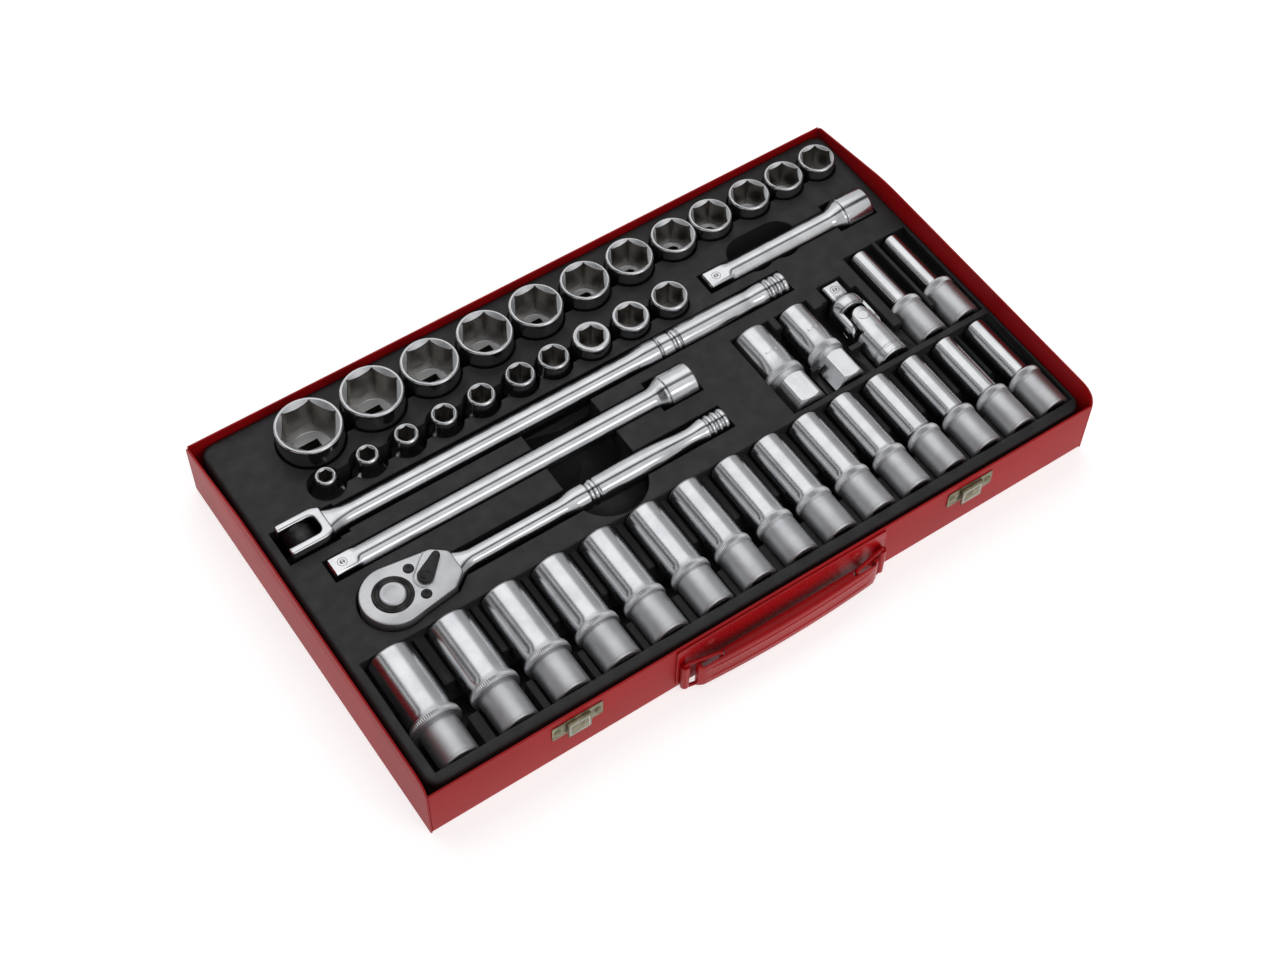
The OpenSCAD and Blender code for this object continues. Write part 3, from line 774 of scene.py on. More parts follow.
def buildRivets():
    v = rivetValues
    xs, level = catchCentres()
    spots = [(x + side * catchValues["holeX"], level, catchValues["plateThick"], v["headRadius"])
             for x in xs for side in (-1, 1)]
    spots += [(handleX + side * 52, 35, handleValues["plateThick"], v["plateHeadRadius"]) for side in (-1, 1)]
    parts = []
    for x, z, thick, radius in spots:
        profile = [(-caseValues["sheet"] - 0.8, 0.0), (-caseValues["sheet"] - 0.8, 2),
                   (-caseValues["sheet"], 2), (-caseValues["sheet"], 1.5), (thick, 1.5), (thick, radius)]
        for k in range(1, 6):
            turn = math.pi / 2 * k / 5
            profile.append((thick + v["headHeight"] * math.sin(turn), radius * math.cos(turn)))
        outward = layAgainstY(x, caseLow.y, z)
        parts.append(moved(turned(profile, 24), outward))
    marks = [0, 0, 0, 0, 1, 1]  # the last two are painted over
    shape = joined(*[marked(part, mark) for part, mark in zip(parts, marks)])
    return piece("rivets", shape, [yellowZinc, redEnamelGloss])


buildCatches()
buildRivets()
print("catches and rivets built")


socketValues = {
    "segments": 72,
    "hexClearance": 0.2,
    "squareHole": 13,
    "squareDepth": 16,
    "ledge": 18,  # level of the floor of the hexagon above the socket's foot
    "rimRound": 0.8,
    "leadIn": 0.5,  # how far the lead-in chamfer opens past the hexagon's corners
    "groove": 0.35,  # depth of the ring that the broach leaves in the ledge
    "nutSizeOfStraight": 15,  # from this size up the outside is one straight cylinder
    "stepBase": 11,  # radius of the base of the smaller ones
}


def noseRadius(size):
    if size < socketValues["nutSizeOfStraight"]:
        return (1.15 * size + 3.9) / 2
    return max(24, 1.25 * size + 2) / 2


def hexMouth(count, top, size):  # round lead-in that runs out on the hexagon's flats, then the hexagon
    corner = size / math.sqrt(3)
    wide = corner + socketValues["leadIn"]
    return [(ring(count, top, "round", wide), 1),
            (ring(count, top, "relieved", size, lift=lambda away: min(0.0, (away - wide) * 0.85)), 2)]


def standingSocket(node):
    v = socketValues
    n = v["segments"]
    size = int(node[-2:])
    low, high = cad(node)
    height = high.z - low.z
    base = (high.x - low.x) / 2
    nose = noseRadius(size)
    hexSize = size + v["hexClearance"]
    small = size < v["nutSizeOfStraight"]
    if small:
        corners = [(0, base - 1, 0), (1, base, 0.6), (9.5, base, 0.3), (10, base - 0.4, 0.2),
                   (10.8, base - 0.4, 0.2), (11.3, base, 0.3), (20, base, 1.6), (23, nose + 1.6, 2.2),
                   (27, nose, 3), (height - v["rimRound"], nose, 0.5), (height, nose - v["rimRound"], 0.5),
                   (height, nose - 1, 0)]
    else:
        step = 0.45
        corners = [(0, base - 1, 0), (1, base, 0.6), (13, base, 0.3), (13.6, base - step, 0.3),
                   (15, base - step, 0.3), (15.6, base, 0.3), (height - v["rimRound"], nose, 0.6),
                   (height, nose - v["rimRound"], 0.6), (height, nose - 1.2, 0)]
    bands = rounded(n, corners)
    bands[-1] = (bands[-1][0], 1)
    bands += hexMouth(n, height, hexSize)
    floor = v["ledge"]
    flat = hexSize / 2
    bands.append((ring(n, floor, "relieved", hexSize), 1))
    if size >= 19:
        groove = flat * 0.84
        bands += hoops(n, 1, (floor, groove + 0.5), (floor - v["groove"], groove), (floor, groove - 0.5),
                       (floor - 0.5, groove * 0.8))
        bands.append((ring(n, floor - 0.6, "square", v["squareHole"]), 2))
    else:
        pilot = min(5.5, size * 0.42)
        bands += hoops(n, 2, (floor, pilot), (v["squareDepth"], pilot))
        bands.append((ring(n, v["squareDepth"], "square", v["squareHole"]), 2))
    bands += [(ring(n, 0.6, "square", v["squareHole"]), 2), (ring(n, 0, "square", v["squareHole"] + 1), 0)]
    middle = (low + high) / 2
    shape = moved(loft(bands, closed=True), Matrix.Translation((middle.x, middle.y, low.z)))
    return piece(node, shape, [polishedAlongZ, satinChrome, broachedSteel])


deepValues = {
    "segments": 144,  # two for each ridge of the knurling
    "driveLength": 26,
    "knurlLength": 4.6,
    "knurlDepth": 0.34,
    "knurlRows": 6,
    "chamfer": 2.2,  # from the knurled band down to the barrel
    "hexDepth": 28,
}


def deepRadii(size):  # hexagon part and drive part
    if size < 15:
        return (1.15 * size + 3.9) / 2, 11.25
    return noseRadius(size) - 0.75, (11.75 if size < 20 else 12.5)


def knurled(count, start, end, radiusStart, radiusEnd, rows, depth):  # fine ridges along the axis
    bands = []
    for j in range(rows + 1):
        share = j / rows
        radius = radiusStart + (radiusEnd - radiusStart) * share
        made = ring(count, start + (end - start) * share, "round", radius)
        for i, p in enumerate(made):
            if i % 2 == 0 and 0 < j < rows:
                p.x *= 1 + depth / radius
                p.y *= 1 + depth / radius
        bands.append((made, 1))
    return bands


def driveHole(count, depth, bore):  # square hole seen from the foot, down to its floor
    v = socketValues
    pilot = min(5.5, bore)
    bands = hoops(count, 2, (18, bore), (18, pilot), (depth, pilot))
    return bands + [(ring(count, depth, "square", v["squareHole"]), 2),
                    (ring(count, 0.6, "square", v["squareHole"]), 1),
                    (ring(count, 0, "square", v["squareHole"] + 1), 1)]


def deepSocket(node):
    v = deepValues
    n = v["segments"]
    size = int(node[-2:])
    low, high = cad(node)
    length = high.y - low.y
    collar = (high.x - low.x) / 2
    nose, drive = deepRadii(size)
    hexSize = size + socketValues["hexClearance"]
    c = v["driveLength"]
    band = collar - v["knurlDepth"]
    drive = min(drive, band - 0.35)
    foot = [(0, drive - 1, 0), (1, drive, 0.8), (c - 1.4, drive, 0.2), (c - 1, drive - 0.3, 0.2),
            (c - 0.5, drive - 0.3, 0.2), (c, band, 0.3)]
    bands = rounded(n, foot, 1)
    bands += knurled(n, c + 0.3, c + v["knurlLength"], band, band, v["knurlRows"], v["knurlDepth"])
    start = c + v["knurlLength"] + 0.3
    bands += rounded(n, [(start, band, 0), (start + 0.2, band - 0.1, 0.2),
                         (start + v["chamfer"], nose + 0.15, 0.8), (start + v["chamfer"] + 1.5, nose, 0.8),
                         (length - 0.9, nose, 0.6), (length, nose - 0.9, 0.6), (length, nose - 1.2, 0)])
    bands += hexMouth(n, length, hexSize)
    bands += [(ring(n, length - v["hexDepth"], "relieved", hexSize), 2),
              (ring(n, length - v["hexDepth"], "round", size * 0.49), 2)]
    bands += driveHole(n, socketValues["squareDepth"], size * 0.49)
    at = layAlongY((low.x + high.x) / 2, low.y, (low.z + high.z) / 2)
    return piece(node, moved(loft(bands, closed=True), at), [polishedAlongY, satinChrome, broachedSteel])


plugValues = {
    "hexLength": 23,
    "barrelUnder": 0.6,  # how much thinner the barrel is than the collar
    "tickAt": 43,
    "tickHalf": 17,  # degrees
}


def ticked(count, z, radius, depth):  # ring with a short dent on the side that comes to lie on top
    made = ring(count, z, "round", radius)
    for i, p in enumerate(made):
        if abs(i / count * 360 - 270) < plugValues["tickHalf"]:
            p.x *= 1 - depth / radius
            p.y *= 1 - depth / radius
    return made


def plugSocket(node):
    v = plugValues
    n = deepValues["segments"]
    size = int(node[-2:])
    low, high = cad(node)
    length = high.y - low.y
    collar = (high.z - low.z) / 2
    flats = (collar - 1.2) * 0.98 * 2
    barrel = collar - v["barrelUnder"]
    end = v["hexLength"]
    hexSize = size + socketValues["hexClearance"]

    def faced(away):  # the turned chamfer on the ends of the outer hexagon
        return max(0.0, (away - flats / 2) * 0.9)

    bands = hoops(n, 1, (0, flats / 2 - 0.8), (0.4, flats / 2 - 0.05))
    bands += [(ring(n, 0.4, "hex", flats, collar, lift=faced), 0),
              (ring(n, end - 1.2, "hex", flats, collar, lift=lambda away: -faced(away)), 1)]
    bands += hoops(n, 1, (end - 1, flats / 2 - 0.3), (end, flats / 2 - 0.5), (end + 0.8, collar - 1.2),
                   (end + 1.6, collar - 0.5))
    bands += knurled(n, end + 2, end + 8, collar - deepValues["knurlDepth"], collar - 0.5, 6,
                     deepValues["knurlDepth"])
    g = v["tickAt"]
    bands += hoops(n, 0, (end + 8.2, barrel))
    bands += [(ticked(n, g + away, barrel, depth), 0)
              for away, depth in ((-0.9, 0), (-0.4, 0.5), (0.4, 0.5), (0.9, 0))]
    bands += rounded(n, [(g + 2, barrel, 0), (length - 0.9, barrel, 0.6), (length, barrel - 0.9, 0.6),
                         (length, barrel - 1.2, 0)])
    bands += hexMouth(n, length, hexSize)
    bands += [(ring(n, length - 22, "relieved", hexSize), 2), (ring(n, length - 22, "round", size * 0.49), 2)]
    bands += driveHole(n, socketValues["squareDepth"], size * 0.49)
    at = layAlongY((low.x + high.x) / 2, low.y, (low.z + high.z) / 2)
    return piece(node, moved(loft(bands, closed=True), at), [polishedAlongY, satinChrome, broachedSteel])


for node in sorted(frame["nodes"]):
    if node.startswith("socket_"):
        standingSocket(node)
    elif node.startswith("deep_socket_"):
        deepSocket(node)
    elif node.startswith("spark_plug_socket_"):
        plugSocket(node)
print("sockets built")


barValues = {
    "square": 12.7,
    "squareLength": 16,
    "squareChamfer": 1.0,
    "cornerLimit": 8.38,  # the square's corners are turned down to this radius
    "ballRadius": 2,
    "shaft": 7.75,
    "female": 12,
    "femaleLength": 20,
}


def squareEnd(count, length, mark=0):  # rings of a male square from its tip
    v = barValues
    s, limit, chamfer = v["square"], v["cornerLimit"], v["squareChamfer"]
    return [(ring(count, 0, "square", s - 2 * chamfer, limit - 1.6 * chamfer), mark),
            (ring(count, chamfer, "square", s, limit), mark),
            (ring(count, length, "square", s, limit), mark)]


def ball(radius, proud, ringMark=0):  # detent ball in its staked hole, standing on z = 0
    stake = [(-1.0, 0.0), (-1.0, radius + 1.1), (0.0, radius + 1.1), (0.15, radius + 0.95),
             (0.15, radius + 0.7), (-0.5, radius + 0.3), (-0.5, 0.0)]
    centre = proud - radius
    start = math.asin(max(-1.0, (-0.8 - centre) / radius))
    turns = [start + (math.pi / 2 - start) * k / 6 for k in range(7)]
    cap = [(-0.8, 0.0)] + [(centre + radius * math.sin(t), radius * math.cos(t)) for t in turns]
    return joined(turned(stake, 24, ringMark), turned(cap, 24))


def extensionBar(node):
    v = barValues
    n = 72
    low, high = cad(node)
    length = high.x - low.x
    centreZ = (low.z + high.z) / 2
    y = (low.y + high.y) / 2
    neck = v["squareLength"]
    square = squareEnd(n, neck - 2)
    last = square[-1][0]
    shaft = ring(n, neck + 2.5, "round", v["shaft"])
    bands = square[:-1] + [(last, 0), (between(last, shaft, 0.45), 0), (between(last, shaft, 0.8), 0),
                           (shaft, 0)]
    f = length - v["femaleLength"]
    tail = [(neck + 3, v["shaft"], 0), (f - 8.5, v["shaft"], 2.5), (f - 1.8, v["female"] - 1, 1),
            (f - 0.9, v["female"] - 0.9, 0.3), (f, v["female"], 0.5), (length - 0.9, v["female"], 0.6),
            (length, v["female"] - 0.9, 0.6), (length, v["female"] - 1.4, 0)]
    bands += rounded(n, tail, steps=6)
    hole = socketValues["squareHole"]
    bands += [(ring(n, length, "square", hole + 1), 1), (ring(n, length - 0.6, "square", hole), 1),
              (ring(n, length - 17, "square", hole), 1)]
    shape = moved(loft(bands), layAlongX(low.x, y, centreZ))
    top = Matrix.Translation((low.x + neck * 0.48, y, centreZ + v["square"] / 2))
    return piece(node, joined(shape, moved(ball(v["ballRadius"], 0.9, 1), top)),
                 [polishedAlongX, broachedSteel])


extensionBar("extension_bar_long")
extensionBar("extension_bar_short")
print("extension bars built")


ratchetValues = {
    "headRadius": 20,
    "halfThick": 8,
    "edge": 1.1,
    "gearHole": 12.58,
    "screwSpots": [(16.3, 10.2), (16.3, -10.2)],
    "screwRadius": 2.9,
    "leverX": 21.8,
    "leverTip": (12.2, 8.9),
    "neck": ((-2, 14.6, 7.4, 5), (2, 12.6, 7.4, 4), (6.5, 9.2, 7.2, 3.2), (11, 7.4, 6.8, 2.4)),
}
ratLow, ratHigh = cad("ratchet_body")
ratX = ratLow.x + ratchetValues["headRadius"]
ratY = (ratLow.y + ratHigh.y) / 2
ratZ = (ratLow.z + ratHigh.z) / 2


def buildRatchetBody():
    v = ratchetValues
    n = 72
    r, half = v["headRadius"], v["halfThick"]
    arc = [Vector((r * math.cos(t), r * math.sin(t))) for t in
           [math.radians(84 + 192 * k / 48) for k in range(49)]]
    corners = [(33.5, -15.2, 1.5), (42.5, -8.2, 2.5), (42.5, 8.2, 2.5), (33.5, 15.2, 1.5)]
    outline = filleted([(p.x, p.y, 0) for p in arc] + corners, closed=True)
    hole = circle(0, 0, v["gearHole"], 64)
    head = plate(outline, [hole], -half, half, v["edge"])
    head = moved(head, Matrix.Translation((ratX, ratY, ratZ)))
    start = 36
    end = ratHigh.x - ratX - start
    neck = softNeck(n, v["neck"])
    corners = [(16, 6.4, 0), (80, 6.3, 3), (88, 8.3, 2.5), (96, 8.4, 0.6), (97.5, 7.5, 0.5),
               (99, 7.5, 0.5), (100.3, 8.4, 0.5), (102, 8.4, 0.5), (103, 7.7, 0.4), (104.5, 8.4, 0.5),
               (110, 8.5, 2), (126, 8.8, 6), (146, 8.5, 6), (165, 6.8, 5), (174, 6.5, 3), (181, 8.1, 1.2)]
    for ringAt in (end - 15, end - 10.4, end - 5.8):
        corners += [(ringAt, 8.2, 0.8), (ringAt + 1.4, 6.9, 0.9), (ringAt + 2.8, 8.2, 0.8)]
    corners += [(end - 1.2, 8.2, 0.6), (end, 7.2, 0.6), (end, 6.5, 0)]
    grip = loft(neck + rounded(n, corners))
    grip = marked(moved(grip, layAlongX(ratX + start, ratY, ratZ)), 2)
    screws = []
    for x, y in v["screwSpots"]:
        sr = v["screwRadius"]
        profile = ((-1.2, sr + 0.5), (0.05, sr + 0.5), (0.5, sr), (0.6, sr - 0.4), (0.6, 1.7))
        socket = [(ring(24, z, "hex", 2.6), 1) for z in (0.6, 0.12)]
        at = Matrix.Translation((ratX + x, ratY + y, ratZ + half))
        screws.append(moved(loft(hoops(24, 1, *profile) + socket), at))
    px = v["leverX"]
    ridge = []
    for k in range(18):  # raised guard that follows the lever's near side
        turn = math.radians(250 - 130 * k / 17)
        ridge.append(Vector((ratX + px + 7.2 * math.cos(turn), ratY + 7.2 * math.sin(turn),
                             ratZ + half - 0.05)))
    ridge.append(Vector((ratX + px + 2.5, ratY + 11.8, ratZ + half - 0.05)))
    ridge.append(Vector((ratX + px + 7.2, ratY + 15.2, ratZ + half - 0.25)))
    guard = sweep(ridge, 0.5, 10)
    shape = joined(head, grip, guard, *screws)
    return piece("ratchet_body", shape, [satinChrome, blackOxide, polishedAlongX], sharp=35)


def buildRatchetDrive():
    n = 72
    low, high = cad("ratchet_drive")
    r = (high.x - low.x) / 2
    height = high.z - low.z
    square = squareEnd(n, barValues["squareLength"] - 1.2, 0)
    base = height - 16
    bands = square + hoops(n, 0, (base, 7.8), (base, r - 0.4), (base + 0.4, r), (height - 0.5, r),
                           (height, r - 0.5), (height, 10.6), (height - 0.25, 10.4), (height, 10.2),
                           (height, 8.5), (height - 0.3, 8.2), (height - 6, 8.2), (height - 6, 3.1),
                           (height - 12, 3.1))
    at = Matrix.Translation((ratX, ratY, low.z))
    side = layAlongX(ratX + barValues["square"] / 2, ratY, low.z + 7.7)
    shape = joined(moved(loft(bands), at), moved(ball(barValues["ballRadius"], 0.9), side))
    return piece("ratchet_drive", shape, [blackOxide])


def buildRatchetButton():
    low, high = cad("ratchet_button")
    r = (high.x - low.x) / 2
    top = high.z - low.z
    profile = [(0, 0.0), (0, 2.6), (0.4, 3), (6, 3), (6, r - 0.3), (6.3, r), (top - 1.3, r)]
    profile += [(top - 1.3 + 1.3 * math.sin(math.pi / 2 * k / 5),
                 r - 1.6 * (1 - math.cos(math.pi / 2 * k / 5))) for k in range(1, 6)]
    profile += [(top - 0.25, 5.2), (top - 0.55, 3.6), (top - 0.75, 1.8), (top - 0.8, 0.0)]
    shape = moved(turned(profile, 64), Matrix.Translation((ratX, ratY, low.z)))
    return piece("ratchet_button", shape, [satinChrome])


def pebble(wide, narrow, tip, shrink, count=40):  # outline round two circles, the second one at the tip
    turn = math.atan2(tip[1], tip[0])
    far = math.hypot(*tip)
    lean = math.asin((wide - narrow) / far)
    points = []
    for k in range(count):
        angle = turn + full * k / count
        onTip = math.cos(angle - turn) > math.sin(lean)
        centre = Vector(tip) if onTip else Vector((0, 0))
        radius = (narrow if onTip else wide) - shrink
        points.append(centre + Vector((math.cos(angle), math.sin(angle))) * radius)
    return points


def buildRatchetLever():
    v = ratchetValues
    base = ratZ + v["halfThick"] + 0.3
    levels = [(0, 0.3), (0.3, 0), (1.5, 0), (2.0, 0.25), (2.3, 0.8)]
    blade = loft([(raised(pebble(5, 2.5, v["leverTip"], shrink), z), 0) for z, shrink in levels])
    pad = turned([(1.6, 0.0), (1.6, 2.2), (2.1, 2.2), (2.45, 1.9), (2.6, 1.3), (2.6, 0.0)], 24)
    pad = moved(pad, Matrix.Translation((v["leverTip"][0], v["leverTip"][1], 0)))
    pin = turned([(-5, 0.0), (-5, 2.7), (-4.7, 3), (0.5, 3), (0.5, 0.0)], 32)
    screw = [(1.8, 0.0), (1.8, 3.4), (2.4, 3.4), (2.6, 3.1), (2.6, 2.2), (2.2, 2.1), (2.2, 1.6),
             (2.5, 1.3), (2.5, 0.0)]
    shape = joined(blade, pad, pin, marked(turned(screw, 32), 1))
    at = Matrix.Translation((ratX + v["leverX"], ratY, base))
    return piece("ratchet_lever", moved(shape, at), [blackMoulded, blackOxide])


buildRatchetBody()
buildRatchetDrive()
buildRatchetButton()
buildRatchetLever()
print("ratchet built")


breakerValues = {
    "forkHalf": 11.75,
    "forkThick": 9.5,
    "gapHalf": 6.75,
    "forkLength": 29,
    "gapLength": 23.5,
    "pivot": 11,  # from the fork's tips
    "pin": 3,
    "eye": 9.5,  # radius of the head's round end
    "neck": ((24, 10.8, 9, 5), (29, 9.6, 8.8, 3.6), (34, 8.3, 8.1, 2.8), (40, 7.5, 7.5, 2.2)),
}
breakLow, breakHigh = cad("breaker_bar")
breakY = (breakLow.y + breakHigh.y) / 2
breakZ = cad("breaker_head")[1].z - breakerValues["eye"]


def buildBreakerBar():
    v = breakerValues
    n = 72
    wide, gap, length = v["forkHalf"], v["gapHalf"], v["forkLength"]
    notch = [(0, -gap, 0.8), (v["gapLength"], -gap, 4.4), (v["gapLength"], gap, 4.4), (0, gap, 0.8)]
    outline = filleted([(0, -wide, 2.2), (24, -wide, 3)] + [(length, -wide + 2.4, 1), (length, wide - 2.4, 1)]
                       + [(24, wide, 3), (0, wide, 2.2)] + list(reversed(notch)), closed=True, steps=6)
    fork = plate(outline, [], -v["forkThick"], v["forkThick"], 1.3, steps=4)
    fork = moved(fork, Matrix.Translation((breakLow.x, breakY, breakZ)))
    neck = softNeck(n, v["neck"])
    x0 = 27
    end = breakHigh.x - breakLow.x
    corners = [(46, 7.2, 0), (x0 + 217, 7.2, 3), (x0 + 228, 8.6, 3), (x0 + 236, 8.7, 0.5),
               (x0 + 237.4, 7.8, 0.4), (x0 + 238.8, 8.7, 0.5), (x0 + 246, 8.7, 0.4), (x0 + 247, 7.9, 0.4),
               (x0 + 248.2, 7.9, 0.4), (x0 + 249.2, 8.7, 0.4), (x0 + 251, 8.7, 0.4), (x0 + 252, 7.9, 0.4),
               (x0 + 253, 8.7, 0.4), (x0 + 262, 8.7, 3), (x0 + 285, 8.6, 5), (x0 + 300, 8.1, 4),
               (x0 + 308, 7.5, 3), (x0 + 315, 8.3, 1.2)]
    for ringAt in (end - 16, end - 11.2, end - 6.4):
        corners += [(ringAt, 8.4, 0.8), (ringAt + 1.5, 7.0, 0.9), (ringAt + 3, 8.4, 0.8)]
    corners += [(end - 1.2, 8.4, 0.6), (end, 7.4, 0.6), (end, 6.8, 0)]
    bar = moved(loft(neck + rounded(n, corners)), layAlongX(breakLow.x, breakY, breakZ))
    pin = turned([(-wide, 0.0), (-wide, v["pin"] - 0.3), (-wide + 0.3, v["pin"]), (wide - 0.3, v["pin"]),
                  (wide, v["pin"] - 0.3), (wide, 0.0)], 32)
    pin = moved(pin, layAgainstY(breakLow.x + v["pivot"], breakY, breakZ))
    return piece("breaker_bar", joined(fork, bar, marked(pin, 1)), [polishedAlongX, satinChrome], sharp=35)


def buildBreakerHead():
    low = cad("breaker_head")[0]
    half = breakerValues["gapHalf"] - 0.35
    eye = breakerValues["eye"]
    x = breakLow.x + breakerValues["pivot"]
    profile = [(-half, 0.0), (-half, eye - 0.9), (-half + 0.9, eye), (half - 0.9, eye), (half, eye - 0.9),
               (half, 0.0)]
    barrel = moved(turned(profile, 64), layAgainstY(x, breakY, breakZ))
    total = breakZ - low.z
    square = moved(loft(squareEnd(72, total - 3)), Matrix.Translation((x, breakY, low.z)))
    side = layAlongX(x + barValues["square"] / 2, breakY, low.z + 7.7)
    shape = joined(barrel, square, moved(ball(barValues["ballRadius"], 0.9), side))
    return piece("breaker_head", shape, [blackOxide])


buildBreakerBar()
buildBreakerHead()
print("breaker bar built")


jointValues = {
    "radius": 12,
    "crossAt": 33.7,  # from the foot of the body
    "earIn": 7.8,
    "earHalf": 7,
    "pin": 3,
    "bowl": 14,
    "yokeStart": 10.2,
}
jointLow, jointHigh = cad("universal_joint_body")
jointX = (jointLow.x + jointHigh.x) / 2
jointZ = (jointLow.z + jointHigh.z) / 2
crossLow, crossHigh = cad("universal_joint_cross")
crossY = (crossLow.y + crossHigh.y) / 2


def ears(foot):  # two ears round the cross's pins, on the sides +X and -X, up from z = foot
    v = jointValues
    parts = []
    for side in (-1, 1):
        rings = []
        for k in range(17):
            y = -v["earHalf"] * math.cos(math.pi * k / 16)
            top = math.sqrt(max(0.0, v["earHalf"] ** 2 - y ** 2))
            out = math.sqrt(v["radius"] ** 2 - y ** 2)
            out = min(out, v["radius"] - 0.25)
            section = filleted([(side * v["earIn"], foot, 0), (side * out, foot, 0), (side * out, top, 0.7),
                                (side * v["earIn"], top, 0.5)], closed=True, steps=3)
            rings.append(([Vector((p.x, y, p.y)) for p in section], 0))
        parts.append(loft(rings))
        r = v["pin"]
        profile = [(-1.5, 0.0), (-1.5, r + 0.9), (0.0, r + 0.9), (0.15, r + 0.6), (0.15, r + 0.25),
                   (-0.2, r + 0.05), (-0.2, r - 0.1), (0.05, r - 0.4), (0.1, 0.0)]
        outward = Matrix.Rotation(side * math.pi / 2, 4, "Y")
        at = Matrix.Translation((side * (v["radius"] - 0.3), 0, 0)) @ outward
        parts.append(moved(turned(profile, 28), at))
    return joined(*parts)


def buildUniversalJoint():
    v = jointValues
    n = 72
    r, c = v["radius"], v["crossAt"]
    hole = socketValues["squareHole"]
    bands = [(ring(n, 16, "square", hole), 1), (ring(n, 0.6, "square", hole), 0),
             (ring(n, 0, "square", hole + 1), 0)]
    bands += rounded(n, [(0, r - 1.2, 0), (0, r - 0.8, 0.3), (0.8, r, 0.5), (5, r, 0.2), (5.5, r - 0.35, 0.2),
                         (6.5, r - 0.35, 0.2), (7, r, 0.2), (23, r, 0.6)])
    for k in range(7):
        radius = (r - 1.4) * (1 - k / 6)
        bands += hoops(n, 0, (c - math.sqrt(v["bowl"] ** 2 - radius ** 2) + 0.001, radius))
    body = loft(bands)
    turnedEars = moved(ears(-12), Matrix.Translation((0, 0, c)) @ Matrix.Rotation(math.pi / 2, 4, "Z"))
    at = layAlongY(jointX, jointLow.y, jointZ)
    piece("universal_joint_body", moved(joined(body, turnedEars), at), [polishedAlongY, broachedSteel])

    yokeLow, yokeHigh = cad("universal_joint_yoke")
    end = yokeHigh.y - crossY
    squareLength = 12
    start = v["yokeStart"]
    yoke = []
    for k in range(7):
        radius = (r - 2.4) * k / 6
        yoke += hoops(n, 0, (math.sqrt(v["bowl"] ** 2 - radius ** 2), radius))
    yoke += rounded(n, [(start + 0.3, r - 1, 0), (start + 0.8, r - 0.3, 0.4), (start + 2.5, r, 0.8),
                        (18.5, r, 2.5), (22.5, 8, 1.5)])
    across, limit = barValues["square"], barValues["cornerLimit"]
    yoke += [(ring(n, end - z, "square", across - less, limit - 0.8 * less), 0)
             for z, less in ((squareLength - 1, 0), (1, 0), (0, 2))]
    flipped = moved(ears(-12), Matrix.Rotation(math.pi, 4, "X"))
    knob = layAgainstY(0, -barValues["square"] / 2, end - 6)
    shape = joined(loft(yoke), flipped, moved(ball(barValues["ballRadius"], 0.9, 1), knob))
    piece("universal_joint_yoke", moved(shape, layAlongY(jointX, crossY, jointZ)),
          [polishedAlongY, broachedSteel])

    half = 5.5
    block = plate(rectangle(-half, -half, half, half, 0.8), [], -half, half, 0.8)
    pins = []
    for turn in (Matrix.Identity(4), Matrix.Rotation(math.pi / 2, 4, "Y")):
        profile = [(-11.5, 0.0), (-11.5, 2.7), (-11.2, 3), (11.2, 3), (11.5, 2.7), (11.5, 0.0)]
        pins.append(moved(turned(profile, 32), turn))
    piece("universal_joint_cross", moved(joined(block, *pins), Matrix.Translation((jointX, crossY, jointZ))),
          [broachedSteel])


buildUniversalJoint()
print("universal joint built")


studioValues = {
    "floor": "#d2d2d2",
    "floorGlow": 1.0,  # keeps the paper white between the lamps
    "floorSize": 8.0,  # metres
    "skyStrength": 1.06,
    # Brightness of the tent round the set, from one side to the other: dark gaps between the white panels
    # give the chrome its streaks. Places run from 0 at -X or -Y to 1 at +X or +Y.
    "panelsX": [(0.0, 0.5), (0.08, 0.7), (0.1, 0.05), (0.155, 0.05), (0.17, 0.85), (0.205, 0.85),
                (0.22, 0.05), (0.275, 0.05), (0.29, 1.0), (0.72, 1.0), (0.8, 0.55), (1.0, 0.4)],
    "panelsY": [(0.0, 0.6), (0.1, 0.75), (0.32, 1.0), (0.42, 1.0), (0.44, 0.05), (0.59, 0.05), (0.61, 0.95),
                (0.85, 1.0), (1.0, 0.7)],
}


def buildFloor():
    half = studioValues["floorSize"] / 2
    mesh = bpy.data.meshes.new("floor")
    mesh.from_pydata([(-half, -half, 0), (half, -half, 0), (half, half, 0), (-half, half, 0)], [],
                     [(0, 1, 2, 3)])
    made, tree, shader, place = newMaterial("paperBackdropWhite")
    shader.inputs["Base Color"].default_value = linear(studioValues["floor"])
    shader.inputs["Roughness"].default_value = 0.9
    shader.inputs["Specular IOR Level"].default_value = 0.1
    shader.inputs["Emission Color"].default_value = linear(studioValues["floor"])
    shader.inputs["Emission Strength"].default_value = studioValues["floorGlow"]
    mesh.materials.append(made)
    floor = newObject("floor", mesh)


def areaLight(name, at, target, size, power):
    data = bpy.data.lights.new(name, "AREA")
    data.shape = "RECTANGLE"
    data.size, data.size_y = size
    data.energy = power
    made = newObject(name, data)
    made.location = at
    made.rotation_euler = (Vector(target) - Vector(at)).to_track_quat("-Z", "Y").to_euler()
    return made


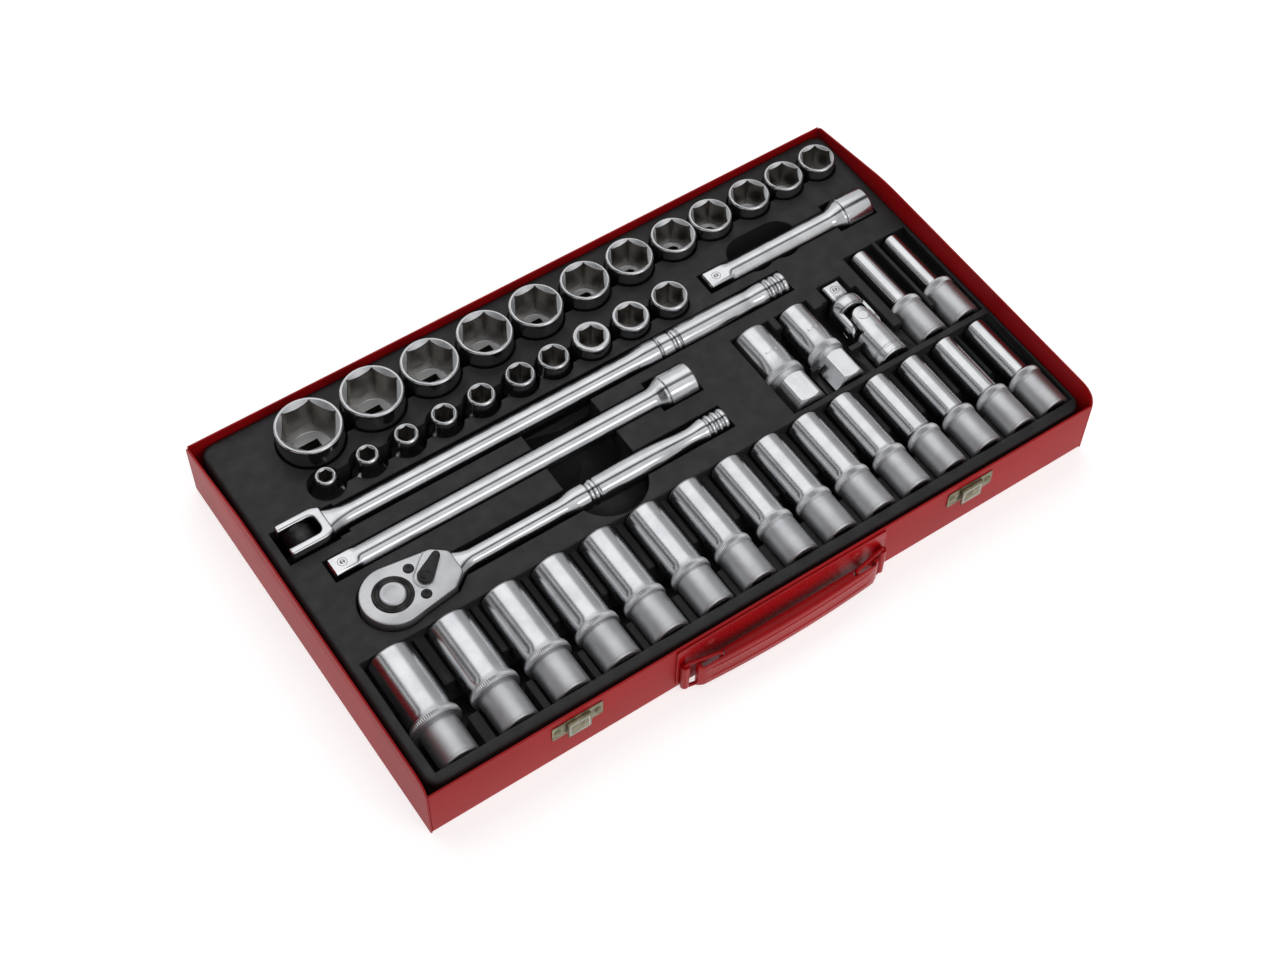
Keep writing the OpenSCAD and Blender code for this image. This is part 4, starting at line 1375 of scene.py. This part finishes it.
def buildWorld():
    world = bpy.data.worlds.new("studio")
    world.use_nodes = True
    tree = world.node_tree
    tree.nodes.clear()
    place = add(tree, "ShaderNodeTexCoord").outputs["Generated"]
    split = add(tree, "ShaderNodeSeparateXYZ", {"Vector": place})
    tones = []
    for axis in "XY":
        share = add(tree, "ShaderNodeMapRange",
                    {"Value": split.outputs[axis], "From Min": -1.0, "From Max": 1.0})
        stops = [(at, grey(value)) for at, value in studioValues["panels" + axis]]
        tones.append(add(tree, "ShaderNodeValToRGB", {"Fac": share.outputs["Result"]},
                         ramp=stops).outputs["Color"])
    both = add(tree, "ShaderNodeVectorMath", {0: tones[0], 1: tones[1]}, operation="MULTIPLY")
    background = add(tree, "ShaderNodeBackground", {"Color": both.outputs["Vector"],
                                                    "Strength": studioValues["skyStrength"]})
    add(tree, "ShaderNodeOutputWorld", {"Surface": background.outputs["Background"]})
    bpy.context.scene.world = world


def buildCamera():
    target = Vector((-6.84, -7.21, 0)) * toMetres
    distance = 1.3392
    azimuth, elevation, roll = [math.radians(degrees) for degrees in (-35.472, 55.746, 1.472)]
    flat = distance * math.cos(elevation)
    at = target + Vector((flat * math.sin(azimuth), -flat * math.cos(azimuth),
                          distance * math.sin(elevation)))
    forward = (target - at).normalized()
    right = forward.cross(Vector((0, 0, 1))).normalized()
    up = right.cross(forward)
    tiltedRight = right * math.cos(roll) + up * math.sin(roll)
    tiltedUp = up * math.cos(roll) - right * math.sin(roll)
    data = bpy.data.cameras.new("camera")
    data.lens = 60.84
    data.sensor_width = 36
    data.clip_end = 50
    made = newObject("camera", data)
    turn = Matrix((tiltedRight, tiltedUp, -forward)).transposed().to_4x4()
    made.matrix_world = Matrix.Translation(at) @ turn
    bpy.context.scene.camera = made


buildFloor()
buildWorld()
areaLight("softboxTop", (0.1, 0.8, 1.8), (0, 0, 0), (2.2, 1.4), 4)
areaLight("softboxFront", (0.4, -1.6, 1.3), (0, 0, 0), (1.0, 0.5), 3)
buildCamera()
bpy.context.scene.view_settings.view_transform = "Standard"
print("studio built")
